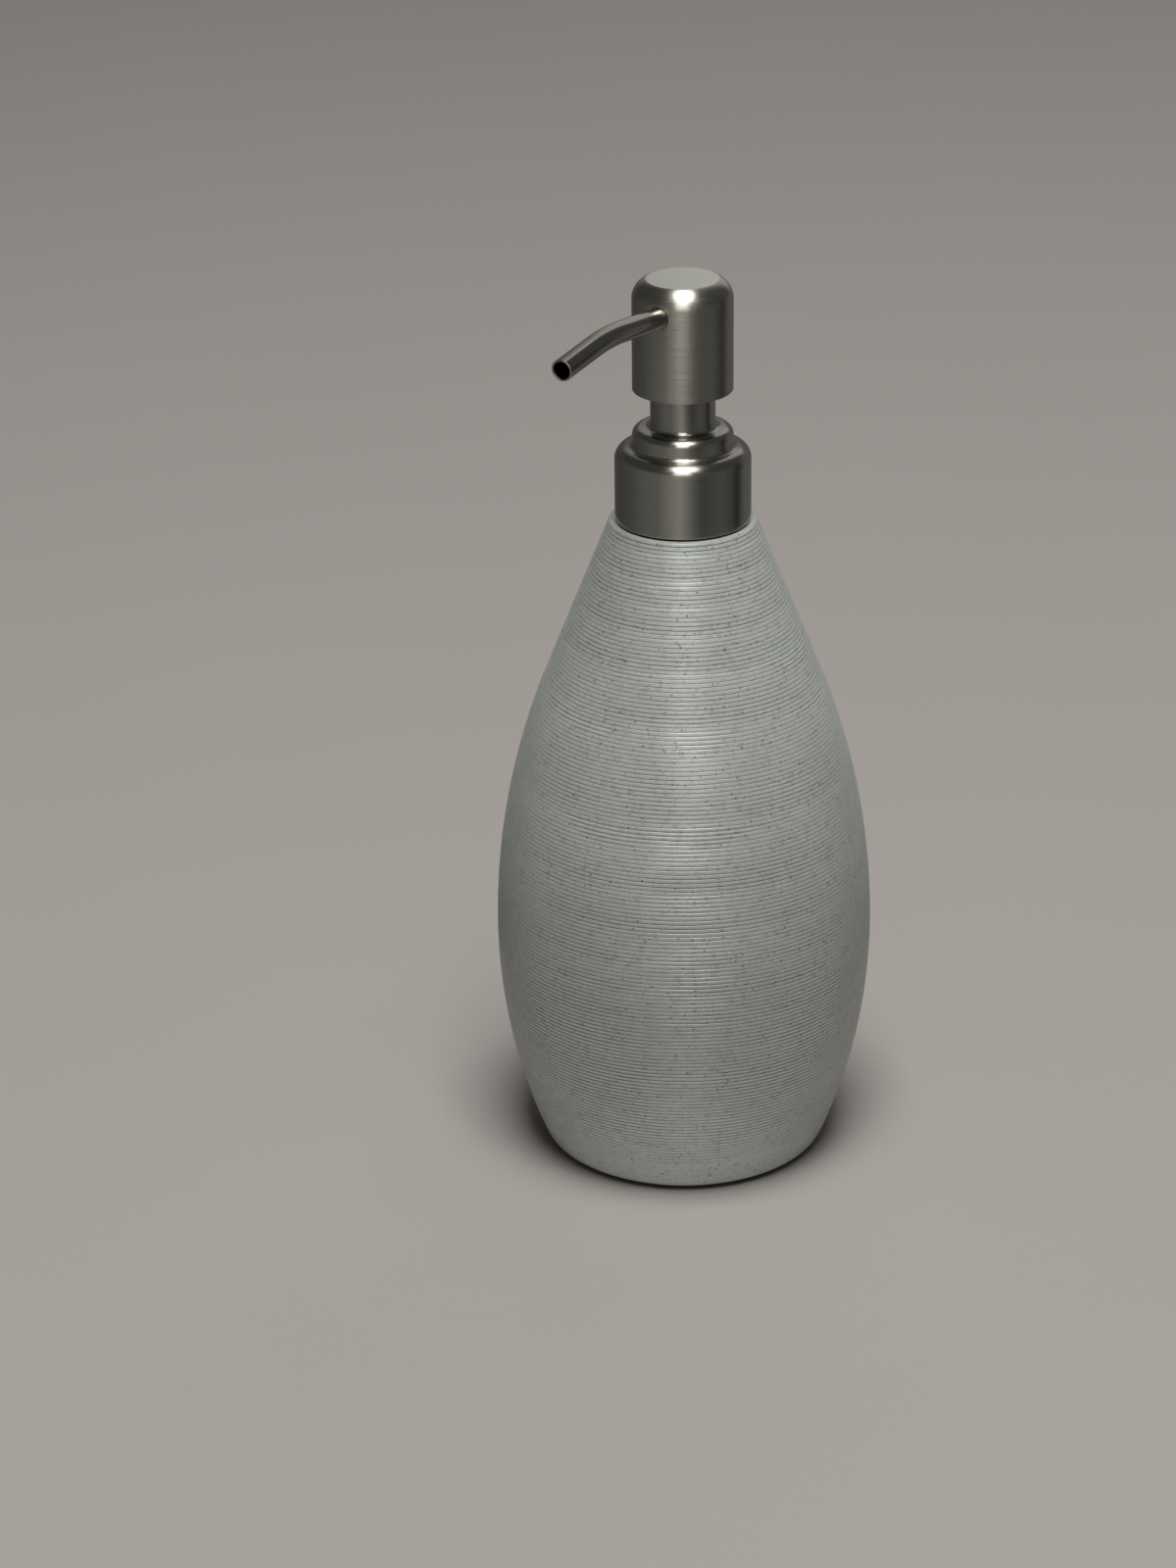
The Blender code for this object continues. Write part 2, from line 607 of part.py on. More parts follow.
def make_return_spring(material, parent):
    """One round wire on a helix, capped at both ends."""
    bm = bmesh.new()
    loops = []
    for step in range(round(SPRING_TURNS * SPRING_TURN_STEPS) + 1):
        turn = step / SPRING_TURN_STEPS
        angle = 2 * pi * turn
        section = arc((SPRING_RADIUS, spring_height(turn)), SPRING_WIRE / 2, 0, 2 * pi, SPRING_SIDES)
        ring = [(radius * cos(angle), radius * sin(angle), height) for radius, height in section[:-1]]
        loops.append([bm.verts.new(point) for point in ring])
    for near, far in zip(loops, loops[1:]):
        bridge(bm, near, far)
    bm.faces.new(loops[0])
    bm.faces.new(loops[-1])
    return finish(bm, "return_spring", material, (0, 0, SPRING_Z), parent)


def make_dip_tube(material, parent):
    """Straight tube whose foot is cut at an angle, so that it can't seal itself on the floor."""
    bore = TUBE_RADIUS - TUBE_WALL
    foot_z = TUBE_Z + TUBE_RADIUS * tan(TUBE_CUT_ANGLE)
    outline = [(bore, foot_z), (TUBE_RADIUS, foot_z), (TUBE_RADIUS, TUBE_TOP_Z), (bore, TUBE_TOP_Z)]
    tube = turned("dip_tube", outline, material, TUBE_TOP_Z, parent, SMALL_SEGMENTS)
    middle = (foot_z - TUBE_TOP_Z) / 2
    for vertex in tube.data.vertices:
        if vertex.co.z < middle:
            vertex.co.z += vertex.co.y * tan(TUBE_CUT_ANGLE)
    return tube


def make_threaded_cap(material, parent):
    """Screw cap under the collar, with a raised ring that carries the chimney's bush."""
    round_centre = (COLLAR_RADIUS - SHOULDER_ROUND, SHOULDER_Z - SHOULDER_ROUND)
    round_radius = SHOULDER_ROUND - COLLAR_SHEET - SEAT_GAP
    ring_radius = STEP_RADIUS - COLLAR_SHEET - SEAT_GAP
    outline = [(CAP_BORE, GUIDE_Z), (CAP_BORE, CAP_SKIRT_Z), (CAP_RADIUS, CAP_SKIRT_Z)]
    outline += arc(round_centre, round_radius, 0, pi / 2, ARC_STEPS)
    outline += [
        (ring_radius, CAP_TOP_Z),
        (ring_radius, CAP_RING_Z),
        (CAP_HOLE, CAP_RING_Z),
        (CAP_HOLE, GUIDE_Z),
    ]
    return turned("threaded_cap", outline, material, CAP_SKIRT_Z, parent)


def make_collar_cover(material, parent):
    """Skirt, rounded shoulder, step and chimney, deep-drawn from one disc of sheet."""
    sheet = COLLAR_SHEET
    outside = [
        (COLLAR_RADIUS, COLLAR_Z, 0),
        (COLLAR_RADIUS, SHOULDER_Z, SHOULDER_ROUND),
        (STEP_RADIUS, SHOULDER_Z, SHOULDER_ROOT),
        (STEP_RADIUS, STEP_Z, STEP_FILLET),
        (CHIMNEY_RADIUS, STEP_Z, CHIMNEY_ROOT_FILLET),
        (CHIMNEY_RADIUS, CHIMNEY_TOP_Z, 0),
    ]
    inside = [
        (COLLAR_RADIUS - sheet, COLLAR_Z, 0),
        (COLLAR_RADIUS - sheet, SHOULDER_Z - sheet, SHOULDER_ROUND - sheet),
        (STEP_RADIUS - sheet, SHOULDER_Z - sheet, SHOULDER_ROOT + sheet),
        (STEP_RADIUS - sheet, STEP_Z - sheet, STEP_FILLET - sheet),
        (CHIMNEY_RADIUS - sheet, STEP_Z - sheet, CHIMNEY_ROOT_FILLET + sheet),
        (CHIMNEY_RADIUS - sheet, CHIMNEY_TOP_Z, 0),
    ]
    outline = filleted(outside, FINE_ARC_STEPS) + filleted(inside)[::-1]
    return turned("collar_cover", outline, material, COLLAR_Z, parent, SHELL_SEGMENTS)


def make_chimney_bush(material, parent):
    flange_radius = STEP_RADIUS - COLLAR_SHEET - SEAT_GAP
    flange_fillet = STEP_FILLET - COLLAR_SHEET - SEAT_GAP
    outline = filleted([
        (GUIDE_BORE, BUSH_FLANGE_Z, 0),
        (flange_radius, BUSH_FLANGE_Z, 0),
        (flange_radius, BUSH_FLANGE_TOP_Z, min(flange_fillet, BUSH_FLANGE_HEIGHT)),
        (BUSH_RADIUS, BUSH_FLANGE_TOP_Z, 0),
        (BUSH_RADIUS, BUSH_TOP_Z - BUSH_CHAMFER, 0),
        (BUSH_RADIUS - BUSH_CHAMFER, BUSH_TOP_Z, 0),
        (GUIDE_BORE + BUSH_CHAMFER, BUSH_TOP_Z, 0),
        (GUIDE_BORE, BUSH_TOP_Z - BUSH_CHAMFER, 0),
    ])
    return turned("chimney_bush", outline, material, BUSH_FLANGE_Z, parent)


def make_stem_tube(material, parent):
    shoulder_radius = STEM_RADIUS + STEM_SHOULDER_WIDTH
    edge = EDGE_SHARE * STEM_WALL
    outline = [
        (STEM_BORE, SEAL_Z),
        (STEM_RADIUS, SEAL_Z),
        (STEM_RADIUS, STEM_SHOULDER_Z),
        (shoulder_radius, STEM_SHOULDER_Z),
        (shoulder_radius, STEM_SHOULDER_TOP_Z),
        (STEM_RADIUS, STEM_SHOULDER_TOP_Z),
        (STEM_RADIUS, STEM_TOP_Z - edge),
        (STEM_RADIUS - edge, STEM_TOP_Z),
        (STEM_BORE, STEM_TOP_Z),
    ]
    stem = turned("stem_tube", outline, material, HEAD_Z, parent, SMALL_SEGMENTS)
    inlet_z = SEAL_Z + PLUG_SHANK_LENGTH - SEAT_GAP + INLET_HEIGHT / 2 + INLET_RADIUS
    reach = STEM_RADIUS + CUT_OVERRUN
    for name, angle in (("stem_inlet_cutter_y", 0.0), ("stem_inlet_cutter_x", pi / 2)):
        placement = across(inlet_z, angle) @ Matrix.Translation((0, 0, -reach))
        cut(stem, rod_cutter(name, INLET_RADIUS, 2 * reach, placement, SMALL_SEGMENTS // 2))
    return stem


def make_stem_plug(material, parent):
    shank_radius = STEM_BORE - SEAT_GAP
    foot_radius = STEM_RADIUS + PLUG_FOOT_WIDTH
    spigot_radius = SPRING_SPIGOT_RADIUS
    spigot_z = PLUG_Z - SPIGOT_HEIGHT
    edge = EDGE_SHARE * SPIGOT_HEIGHT
    outline = [
        (0, spigot_z),
        (spigot_radius - edge, spigot_z),
        (spigot_radius, spigot_z + edge),
        (spigot_radius, PLUG_Z),
        (foot_radius, PLUG_Z),
        (foot_radius, PLUG_TOP_Z - PLUG_CONE_HEIGHT),
        (foot_radius - PLUG_CONE_HEIGHT, PLUG_TOP_Z),
        (shank_radius, PLUG_TOP_Z),
        (shank_radius, PLUG_TOP_Z + PLUG_SHANK_LENGTH),
        (0, PLUG_TOP_Z + PLUG_SHANK_LENGTH),
    ]
    return turned("stem_plug", outline, material, PLUG_TOP_Z, parent, SMALL_SEGMENTS)


def make_piston_seal(material, parent):
    """Double-ended lip seal with a groove behind each lip."""
    middle = GUIDE_BORE + SEAL_WIDTH / 2
    groove = SEAL_GROOVE_WIDTH / 2
    waist_radius = SEAL_RADIUS - SEAL_WAIST_DEPTH
    waist_step = SEAL_LIP_HEIGHT + SEAL_WAIST_DEPTH
    outline = [
        (GUIDE_BORE, SEAL_Z),
        (middle - groove, SEAL_Z),
        (middle, SEAL_Z + SEAL_GROOVE_DEPTH),
        (middle + groove, SEAL_Z),
        (SEAL_RADIUS, SEAL_Z),
        (SEAL_RADIUS, SEAL_Z + SEAL_LIP_HEIGHT),
        (waist_radius, SEAL_Z + waist_step),
        (waist_radius, SEAL_TOP_Z - waist_step),
        (SEAL_RADIUS, SEAL_TOP_Z - SEAL_LIP_HEIGHT),
        (SEAL_RADIUS, SEAL_TOP_Z),
        (middle + groove, SEAL_TOP_Z),
        (middle, SEAL_TOP_Z - SEAL_GROOVE_DEPTH),
        (middle - groove, SEAL_TOP_Z),
        (GUIDE_BORE, SEAL_TOP_Z),
    ]
    return turned("piston_seal", outline, material, SEAL_Z, parent)


def head_section(inset, steps):
    """Side, rounded edge and flat top of the press head, moved in by the inset, ending on the axis."""
    edge_height = HEAD_EDGE_SHARE * HEAD_EDGE_RADIUS
    centre = (HEAD_RADIUS - HEAD_EDGE_RADIUS, HEAD_TOP_Z - edge_height)
    radius = HEAD_EDGE_RADIUS - inset
    top_angle = asin((edge_height - inset) / radius)
    return arc(centre, radius, 0, top_angle, steps) + [(0, HEAD_TOP_Z - inset)]


def make_head_cover(material, parent):
    """Drawn cup with a side hole for the spout."""
    outside = [(HEAD_RADIUS, HEAD_Z)] + head_section(0, FINE_ARC_STEPS)
    inside = [(HEAD_RADIUS - HEAD_SHEET, HEAD_Z)] + head_section(HEAD_SHEET, ARC_STEPS)
    outline = outside[::-1] + inside
    cup = turned("head_cover", outline, material, HEAD_Z, parent, SHELL_SEGMENTS)
    reach = HEAD_RADIUS + CUT_OVERRUN
    hole = rod_cutter("head_hole_cutter", SPOUT_BORE, reach, across(SPOUT_Z, lean=SPOUT_TILT))
    cut(cup, hole)
    return cup


def make_head_core(material, parent):
    """Moulded body inside the head: socket for the stem, channel up, and a bore for the spout."""
    inset = HEAD_SHEET + SEAT_GAP
    side = HEAD_RADIUS - inset
    outline = head_section(inset, ARC_STEPS)[::-1] + [
        (side, CORE_Z),
        (BOSS_RADIUS, CORE_Z),
        (BOSS_RADIUS, BOSS_Z),
        (BOSS_BORE, BOSS_Z),
        (BOSS_BORE, SOCKET_TOP_Z),
        (CHANNEL_RADIUS, SOCKET_TOP_Z),
        (CHANNEL_RADIUS, SPOUT_Z),
        (0, SPOUT_Z),
    ]
    core = turned("head_core", outline, material, CORE_Z, parent)
    axis = across(SPOUT_Z, lean=SPOUT_TILT)
    back = axis @ Matrix.Translation((0, 0, -CHANNEL_RADIUS))
    reach = HEAD_RADIUS + CUT_OVERRUN
    cut(core, rod_cutter("core_bore_cutter", SPOUT_BORE, reach + CHANNEL_RADIUS, back))
    seat = axis @ Matrix.Translation((0, 0, seal_start() - SEAT_GAP))
    seat_radius = SPOUT_BORE + SPOUT_SEAL_WIDTH + SEAT_GAP
    cut(core, rod_cutter("core_seat_cutter", seat_radius, reach, seat))
    return core


def seal_start():
    """Distance of the spout seal's inner end from the pump's axis, along the spout."""
    return HEAD_RADIUS - HEAD_SHEET - SPOUT_SEAL_INSET - SPOUT_SEAL_LENGTH / 2


def spout_path():
    """Distance and direction of each ring of the spout, as (centre, tangent angle) in the YZ plane."""
    start = (-SPOUT_START * cos(SPOUT_TILT), SPOUT_Z + SPOUT_START * sin(SPOUT_TILT))
    bend_start = (-SPOUT_STRAIGHT * cos(SPOUT_TILT), SPOUT_Z + SPOUT_STRAIGHT * sin(SPOUT_TILT))
    centre = (
        bend_start[0] - SPOUT_BEND_RADIUS * sin(SPOUT_TILT),
        bend_start[1] - SPOUT_BEND_RADIUS * cos(SPOUT_TILT),
    )
    stations = [(start, SPOUT_TILT)]
    for step in range(BEND_STEPS + 1):
        angle = SPOUT_TILT - SPOUT_BEND * step / BEND_STEPS
        y = centre[0] + SPOUT_BEND_RADIUS * sin(angle)
        z = centre[1] + SPOUT_BEND_RADIUS * cos(angle)
        stations.append(((y, z), angle))
    last, angle = stations[-1]
    tip = (last[0] - SPOUT_TAIL * cos(angle), last[1] + SPOUT_TAIL * sin(angle))
    return stations + [(tip, angle)]


def spout_ring(station, radius):
    """Circle round a point of the spout's path, square to the path there."""
    (y, z), angle = station
    circle = arc((0, 0), radius, 0, 2 * pi, SMALL_SEGMENTS)[:-1]
    return [(x, y + up * sin(angle), z + up * cos(angle)) for x, up in circle]


def make_spout_tube(material, parent):
    """Thin tube that leaves the head a little upwards and bends down, open at both ends."""
    bm = bmesh.new()
    skins = []
    for radius in (SPOUT_RADIUS, SPOUT_RADIUS - SPOUT_WALL):
        rings = [spout_ring(station, radius) for station in spout_path()]
        loops = [[bm.verts.new(point) for point in ring] for ring in rings]
        for near, far in zip(loops, loops[1:]):
            bridge(bm, near, far)
        skins.append(loops)
    outer, inner = skins
    bridge(bm, outer[0], inner[0])
    bridge(bm, outer[-1], inner[-1])
    return finish(bm, "spout_tube", material, (0, 0, SPOUT_Z), parent)


def make_spout_seal(material, parent):
    inner = SPOUT_BORE
    outer = SPOUT_BORE + SPOUT_SEAL_WIDTH
    length = SPOUT_SEAL_LENGTH
    edge = EDGE_SHARE * SPOUT_SEAL_WIDTH
    outline = filleted([
        (inner, 0, edge), (outer, 0, edge), (outer, length, edge), (inner, length, edge),
    ], EDGE_STEPS)
    seal = turned("spout_seal", outline, material, 0, None, SMALL_SEGMENTS)
    seal.data.transform(Matrix.Translation((0, 0, seal_start())))
    seal.matrix_world = across(SPOUT_Z, lean=SPOUT_TILT)
    attach(seal, parent)
    return seal


def build():
    for old in list(bpy.data.objects):
        bpy.data.objects.remove(old, do_unlink=True)

    stone = principled("stone", (0.27, 0.28, 0.26), 0.85)
    foam = principled("foam", (0.05, 0.05, 0.05), 0.9)
    brushed = principled("brushed_steel", (0.42, 0.41, 0.38), 0.32, 1.0)
    polished = principled("polished_steel", (0.4, 0.39, 0.36), 0.16, 1.0)
    natural = principled("natural_plastic", (0.8, 0.8, 0.77), 0.4)
    grey = principled("grey_plastic", (0.12, 0.12, 0.12), 0.45)
    clear = principled("milky_plastic", (0.72, 0.74, 0.74), 0.3)
    rubber = principled("white_rubber", (0.75, 0.75, 0.72), 0.6)
    spring_steel = principled("spring_steel", (0.5, 0.5, 0.5), 0.25, 1.0)

    pump = carrier("pump_rise", LEDGE_Z)
    closure = carrier("collar_turn", COLLAR_Z, pump)
    plunger = carrier("head_press", HEAD_Z, pump)
    head = carrier("head_swivel", HEAD_Z, plunger)
    slip = carrier("seal_slip", SEAL_Z, plunger)
    lift = carrier("ball_lift", BALL_Z, pump)

    make_bottle(stone)
    make_base_pad(foam)
    make_neck_insert(grey)

    make_pump_cylinder(natural, pump)
    make_neck_gasket(rubber, pump)
    make_stem_guide(natural, pump)
    make_ball_cage(natural, pump)
    make_return_spring(spring_steel, pump)
    make_dip_tube(clear, pump)
    make_check_ball(polished, lift)

    make_threaded_cap(grey, closure)
    make_collar_cover(polished, closure)
    make_chimney_bush(grey, closure)

    make_stem_tube(natural, plunger)
    make_stem_plug(natural, plunger)
    make_piston_seal(rubber, slip)

    make_head_cover(brushed, head)
    make_head_core(grey, head)
    make_spout_tube(brushed, head)
    make_spout_seal(rubber, head)

    top = HEAD_TOP_Z / MM
    reach = -spout_path()[-1][0][0] / MM
    print(f"height {top:.1f} mm, spout reach {reach:.1f} mm, shoulder {degrees(shoulder_slope()):.1f} deg")
    print(f"least gap between the spring's turns {spring_gap() / MM:.2f} mm")


build()
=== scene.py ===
"""Soap dispenser with its finishes: a cast bottle with fine turned grooves under a brushed steel pump."""

import json
from math import asin, atan2, cos, pi, radians, sin, sqrt, tan

import bmesh
import bpy
from bpy.props import FloatProperty, FloatVectorProperty, PointerProperty
from bpy.types import Operator, Panel, PropertyGroup
from mathutils import Matrix, Vector, noise

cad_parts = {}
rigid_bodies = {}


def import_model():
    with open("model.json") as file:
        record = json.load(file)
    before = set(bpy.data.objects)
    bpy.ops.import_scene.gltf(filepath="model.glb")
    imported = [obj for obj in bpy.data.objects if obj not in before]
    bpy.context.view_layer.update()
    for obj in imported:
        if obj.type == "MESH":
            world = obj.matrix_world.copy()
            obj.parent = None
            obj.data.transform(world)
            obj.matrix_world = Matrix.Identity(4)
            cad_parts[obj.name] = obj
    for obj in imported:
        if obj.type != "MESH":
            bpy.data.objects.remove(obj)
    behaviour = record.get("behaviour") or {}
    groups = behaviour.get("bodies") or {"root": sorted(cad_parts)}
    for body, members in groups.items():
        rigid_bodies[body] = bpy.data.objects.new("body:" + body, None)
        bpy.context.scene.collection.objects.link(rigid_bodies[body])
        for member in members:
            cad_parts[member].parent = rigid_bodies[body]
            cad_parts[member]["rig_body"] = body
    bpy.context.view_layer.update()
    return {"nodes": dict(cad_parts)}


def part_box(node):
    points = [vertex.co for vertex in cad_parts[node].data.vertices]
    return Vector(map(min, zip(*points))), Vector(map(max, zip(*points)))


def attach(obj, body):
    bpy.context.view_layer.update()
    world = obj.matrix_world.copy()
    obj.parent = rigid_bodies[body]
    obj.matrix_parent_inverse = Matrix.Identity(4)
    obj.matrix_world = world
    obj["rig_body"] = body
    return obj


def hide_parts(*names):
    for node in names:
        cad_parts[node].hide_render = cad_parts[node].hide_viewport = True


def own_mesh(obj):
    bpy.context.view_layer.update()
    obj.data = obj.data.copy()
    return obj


bl_info = {
    "name": "Soap Dispenser",
    "version": (1, 0, 0),
    "blender": (4, 5, 0),
    "location": "View3D > Sidebar > Dispenser",
    "description": "Makes the finished pieces of a soap dispenser round its fixed frame",
    "category": "Object",
}

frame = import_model()

MM = 0.001
MERGE_DISTANCE = 0.001 * MM
PLANE_REACH = 0.002 * MM
SMOOTH_ANGLE = radians(32.0)
CORNER_ANGLE = radians(145.0)
BEVEL_ANGLE = radians(40.0)

# Spins: how many steps a full turn takes on each kind of piece
BOTTLE_STEPS = 128
STEEL_STEPS = 144
PLASTIC_STEPS = 72
SPOUT_STEPS = 64
STAGE_STEPS = 96

# Arcs: how many steps each takes on the bottle's wall, outside and inside, its foot, its ledge and the spout
OUTER_STEPS = 90
INNER_STEPS = 16
FOOT_STEPS = 8
LEDGE_STEPS = 6
BEND_STEPS = 14

# Halvings of the range in which the slope of the shoulder is looked for
HALVINGS = 60

# Grooves: where each ring of one groove lies along the pitch, its share of the depth, and the least one
GROOVE_SECTION = ((0.0, 0.0), (0.35, 0.1), (0.5, 1.0), (0.65, 0.1))
GROOVE_TRACE = 0.02

# Bands: heights over the foot, in mm, from each of which the grooves grow shallower up to the next
GROOVE_BANDS = (
    0, 8, 16, 25, 33, 42, 49.5, 57, 64, 72.5, 82, 97, 119.5, 131.3, 139.3, 145.5, 150.8, 156.2, 164,
)

# Depth within a band: it swells over the first seventh, then falls off, and never goes under a share
SWELL_HEIGHT = 1.3
SWELL_GROWTH = 7
SWELL_FALL = 1.4
SHALLOW_SHARE = 0.48

# Towards the foot the bands show less, and the depth stays nearer its mean
FOOT_BANDING = 0.2
BAND_HEIGHT = 150.0
MEAN_SWELL = 0.5

# The grooves fade out at the foot, and those on the lower part are deeper
FADE_HEIGHT = 17.0
DEEP_HEIGHT = 65.0
DEEP_RUN = 15.0
DEEP_GAIN = 0.3

# Wander of a groove's depth on its way round: changes per metre, and share of the depth
WANDER_SCALE = 60
WANDER_SHARE = 0.4

# Threads: turns that each makes, and the height over the ledge under which the cap's bore is read
THREAD_TURNS = 1.5
BORE_READ_HEIGHT = 3 * MM

# Edges: rounding on plastic, on sheet and round the head's top, and the drawn share of its large rounding
PLASTIC_EDGE = 0.15 * MM
SHEET_EDGE = 0.1 * MM
TOP_EDGE = 0.3 * MM
HEAD_ROUNDING = 0.94

# Spacing at which the brushing of the drawn covers is shown
BRUSHING = 0.14 * MM

# Values between which nearly all of a noise pattern lies
NOISE_REACH = (0.3, 0.7)

# Cards on the reflector, which glow with no lamp on them: direction in degrees from the camera's side, and
# grey level, blended in between
WALL_CARDS = (
    (-180, 90), (-130, 75), (-90, 90), (-65, 110), (-40, 115), (-5, 160), (15, 105), (30, 75), (65, 95),
    (85, 80), (98, 45), (118, 105), (180, 90),
)
HOOD_CARDS = (
    (-180, 125), (-165, 100), (-145, 45), (-50, 45), (-18, 60), (-11, 240), (9, 240), (16, 70), (40, 45),
    (138, 50), (143, 130), (155, 130), (180, 125),
)


def linear(code):
    """Linear RGB of an sRGB colour written as #rrggbb."""
    channels = [int(code[place:place + 2], 16) / 255 for place in (1, 3, 5)]
    return tuple(c / 12.92 if c <= 0.04045 else ((c + 0.055) / 1.055) ** 2.4 for c in channels)


def size_of(node):
    """Largest radius, lowest height and highest height of a round node on the axis."""
    low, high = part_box(node)
    return high.x, low.z, high.z


BOTTLE_RADIUS, RIM_Z, LEDGE_Z = size_of("bottle")
COLLAR_RADIUS, COLLAR_Z, CHIMNEY_TOP_Z = size_of("collar_cover")
HEAD_RADIUS, HEAD_Z, HEAD_TOP_Z = size_of("head_cover")
INSERT_RADIUS = size_of("neck_insert")[0]

# Lamps: what each is, power in W, width and height in m, azimuth and elevation in degrees, distance, aim
LAMPS = {
    "key": ("lamp overhead", 52.0, 0.78, 0.85, 37, 75, 1.9, LEDGE_Z),
    "fill": ("bounce card at the foot", 0.028, 0.35, 0.011, 29, 0, 0.076, 6.5 * MM),
    "sheen": ("strip lamp mirrored in the bottle", 0.18, 0.02, 0.18, 32, 0, 0.14, 0.2),
    "back": ("panel behind the bottle", 4.5, 1.8, 1.1, 192, 35, 2.0, LEDGE_Z),
}


def length(name, description, value):
    """Property that holds a length, with its default in metres."""
    return FloatProperty(name=name, description=description, default=value, unit="LENGTH", precision=5)


def angle(name, description, degrees):
    return FloatProperty(name=name, description=description, default=radians(degrees), subtype="ANGLE")


def share(name, description, value):
    return FloatProperty(name=name, description=description, default=value, subtype="FACTOR", min=0, max=1)


def colour(name, description, code):
    return FloatVectorProperty(name=name, description=description, default=linear(code), subtype="COLOR")


def power(name, description, watts):
    return FloatProperty(name=name, description=description, default=watts, unit="POWER", precision=3)


class DispenserBottle(PropertyGroup):
    belly_height: length("Belly Height", "Height of the widest ring over the foot", 55.5 * MM)
    foot_radius: length("Foot Radius", "Radius that the wall runs down to at the foot", 33.7 * MM)
    foot_fillet: length("Foot Fillet", "Rounding of the foot's edge", 3.0 * MM)
    shoulder_share: share("Shoulder Arc", "Curved share of the height from the belly to the ledge", 0.63)
    ledge_radius: length("Ledge Radius", "Radius of the flat ledge round the neck", 17.1 * MM)
    ledge_fillet: length("Ledge Fillet", "Rounding of the ledge's edge", 0.35 * MM)
    # Painted shade on the ledge under the collar, as a share of a full groove's darkening
    ledge_painted_shade: share("Ledge Shade", "How much darker the ledge is, as a share of a full groove", 0.75)
    wall: length("Wall", "Thickness of the cast wall", 5.0 * MM)
    floor: length("Floor", "Thickness of the cast floor", 7.0 * MM)
    floor_fillet: length("Floor Fillet", "Rounding inside, between the floor and the wall", 8.0 * MM)
    fit: length("Fit", "Gap left round the pad and the neck's flange", 0.3 * MM)
    counterbore_depth: length("Counterbore", "Depth of the seat for the neck's flange", 1.9 * MM)
    mouth_radius: length("Mouth Radius", "Radius of the bore for the neck's spigot", 12.85 * MM)
    mouth_depth: length("Mouth Depth", "Length of the bore for the neck's spigot", 14.0 * MM)
    mouth_slope: length("Mouth Slope", "Height of the slope from the bore out to the inner wall", 3.0 * MM)
    pitch: length("Groove Pitch", "Spacing of the grooves along the wall", 1.0 * MM)
    depth: length("Groove Depth", "Depth of a full groove, before its band and the foot change it", 0.23 * MM)
    body: colour("Body", "Colour of the cast body", "#a7aba5")
    shade: colour("Mottle", "Colour of the darker clouds in the body", "#a3a5a0")
    speck: colour("Specks", "Colour of the sand grains in the body", "#5d5f5a")


class DispenserPump(PropertyGroup):
    gasket_inset: length("Gasket Inset", "How far the gasket stays inside the neck's edge", 0.4 * MM)
    thread_lead: length("Thread Lead", "Rise of the closure in one turn", 25.4 / 6 * MM)
    thread_height: length("Thread Height", "Height of the thread over the neck", 0.6 * MM)
    thread_width: length("Thread Width", "Width of the thread at its foot", 1.6 * MM)
    thread_gap: length("Thread Gap", "Gap between a thread's crest and the wall it faces", 0.12 * MM)
    thread_start: length("Thread Start", "Height over the ledge at which the neck's thread starts", 4.2 * MM)
    shoulder_height: length("Collar Shoulder", "Height of the shoulder over the collar's edge", 17.4 * MM)
    shoulder_fillet: length("Shoulder Fillet", "Rounding of the collar's shoulder", 3.06 * MM)
    root_fillet: length("Step Root", "Hollow rounding where the step rises from the shoulder", 0.95 * MM)
    step_radius: length("Step Radius", "Radius of the collar's upper step", 11.67 * MM)
    step_height: length("Step Height", "Height of the step over the collar's lower edge", 22.0 * MM)
    step_fillet: length("Step Fillet", "Rounding of the step's edge", 2.0 * MM)
    chimney_radius: length("Chimney Radius", "Radius of the guide tube that rises into the head", 7.49 * MM)
    chimney_fillet: length("Chimney Root", "Hollow rounding at the foot of the guide tube", 1.2 * MM)
    collar_sheet: length("Collar Sheet", "Thickness of the collar's sheet", 0.5 * MM)
    head_sheet: length("Head Sheet", "Thickness of the head's sheet", 0.6 * MM)
    head_edge: length("Head Edge", "Radius of the head's rounded edge", 5.0 * MM)
    head_edge_share: share("Head Edge Share", "Share of the edge's radius under the flat top", 0.93)
    stroke: length("Stroke", "How far the head goes down", 8.5 * MM)
    spout_radius: length("Spout Radius", "Outer radius of the spout", 2.5 * MM)
    spout_wall: length("Spout Wall", "Thickness of the spout's wall", 0.45 * MM)
    spout_gap: length("Spout Gap", "Gap between the spout and its hole", 0.1 * MM)
    spout_drop: length("Spout Drop", "Depth of the spout's axis under the head's top", 7.5 * MM)
    spout_start: length("Spout Start", "Distance of the spout's inner end from the axis", 2.6 * MM)
    spout_straight: length("Spout Straight", "Distance from the axis to the bend", 28.0 * MM)
    spout_tail: length("Spout Tail", "Length of the spout past its bend", 13.5 * MM)
    spout_bend_radius: length("Bend Radius", "Radius of the spout's bend", 60.0 * MM)
    spout_tilt: angle("Spout Tilt", "Angle at which the spout leaves the head upwards", 6)
    spout_bend: angle("Spout Bend", "Angle through which the spout bends down", 12)
    steel: colour("Steel", "Colour of the stainless steel", "#b4b1a5")
    # Paler than the steel: painted light on the head's flat top
    satin: colour("Satin", "Colour of the head's sanded top", "#d8d7cc")
    finish_angle: angle("Top Finish", "Least rise of a face's normal that gives it the satin finish", 82)
    top_steel: share("Top Roughness", "Roughness of the head's satin top", 0.36)
    head_steel: share("Head Roughness", "Roughness of the head's satin brushing", 0.3)
    collar_steel: share("Collar Roughness", "Roughness of the collar's finer brushing", 0.2)
    spout_steel: share("Spout Roughness", "Roughness of the drawn tube", 0.15)


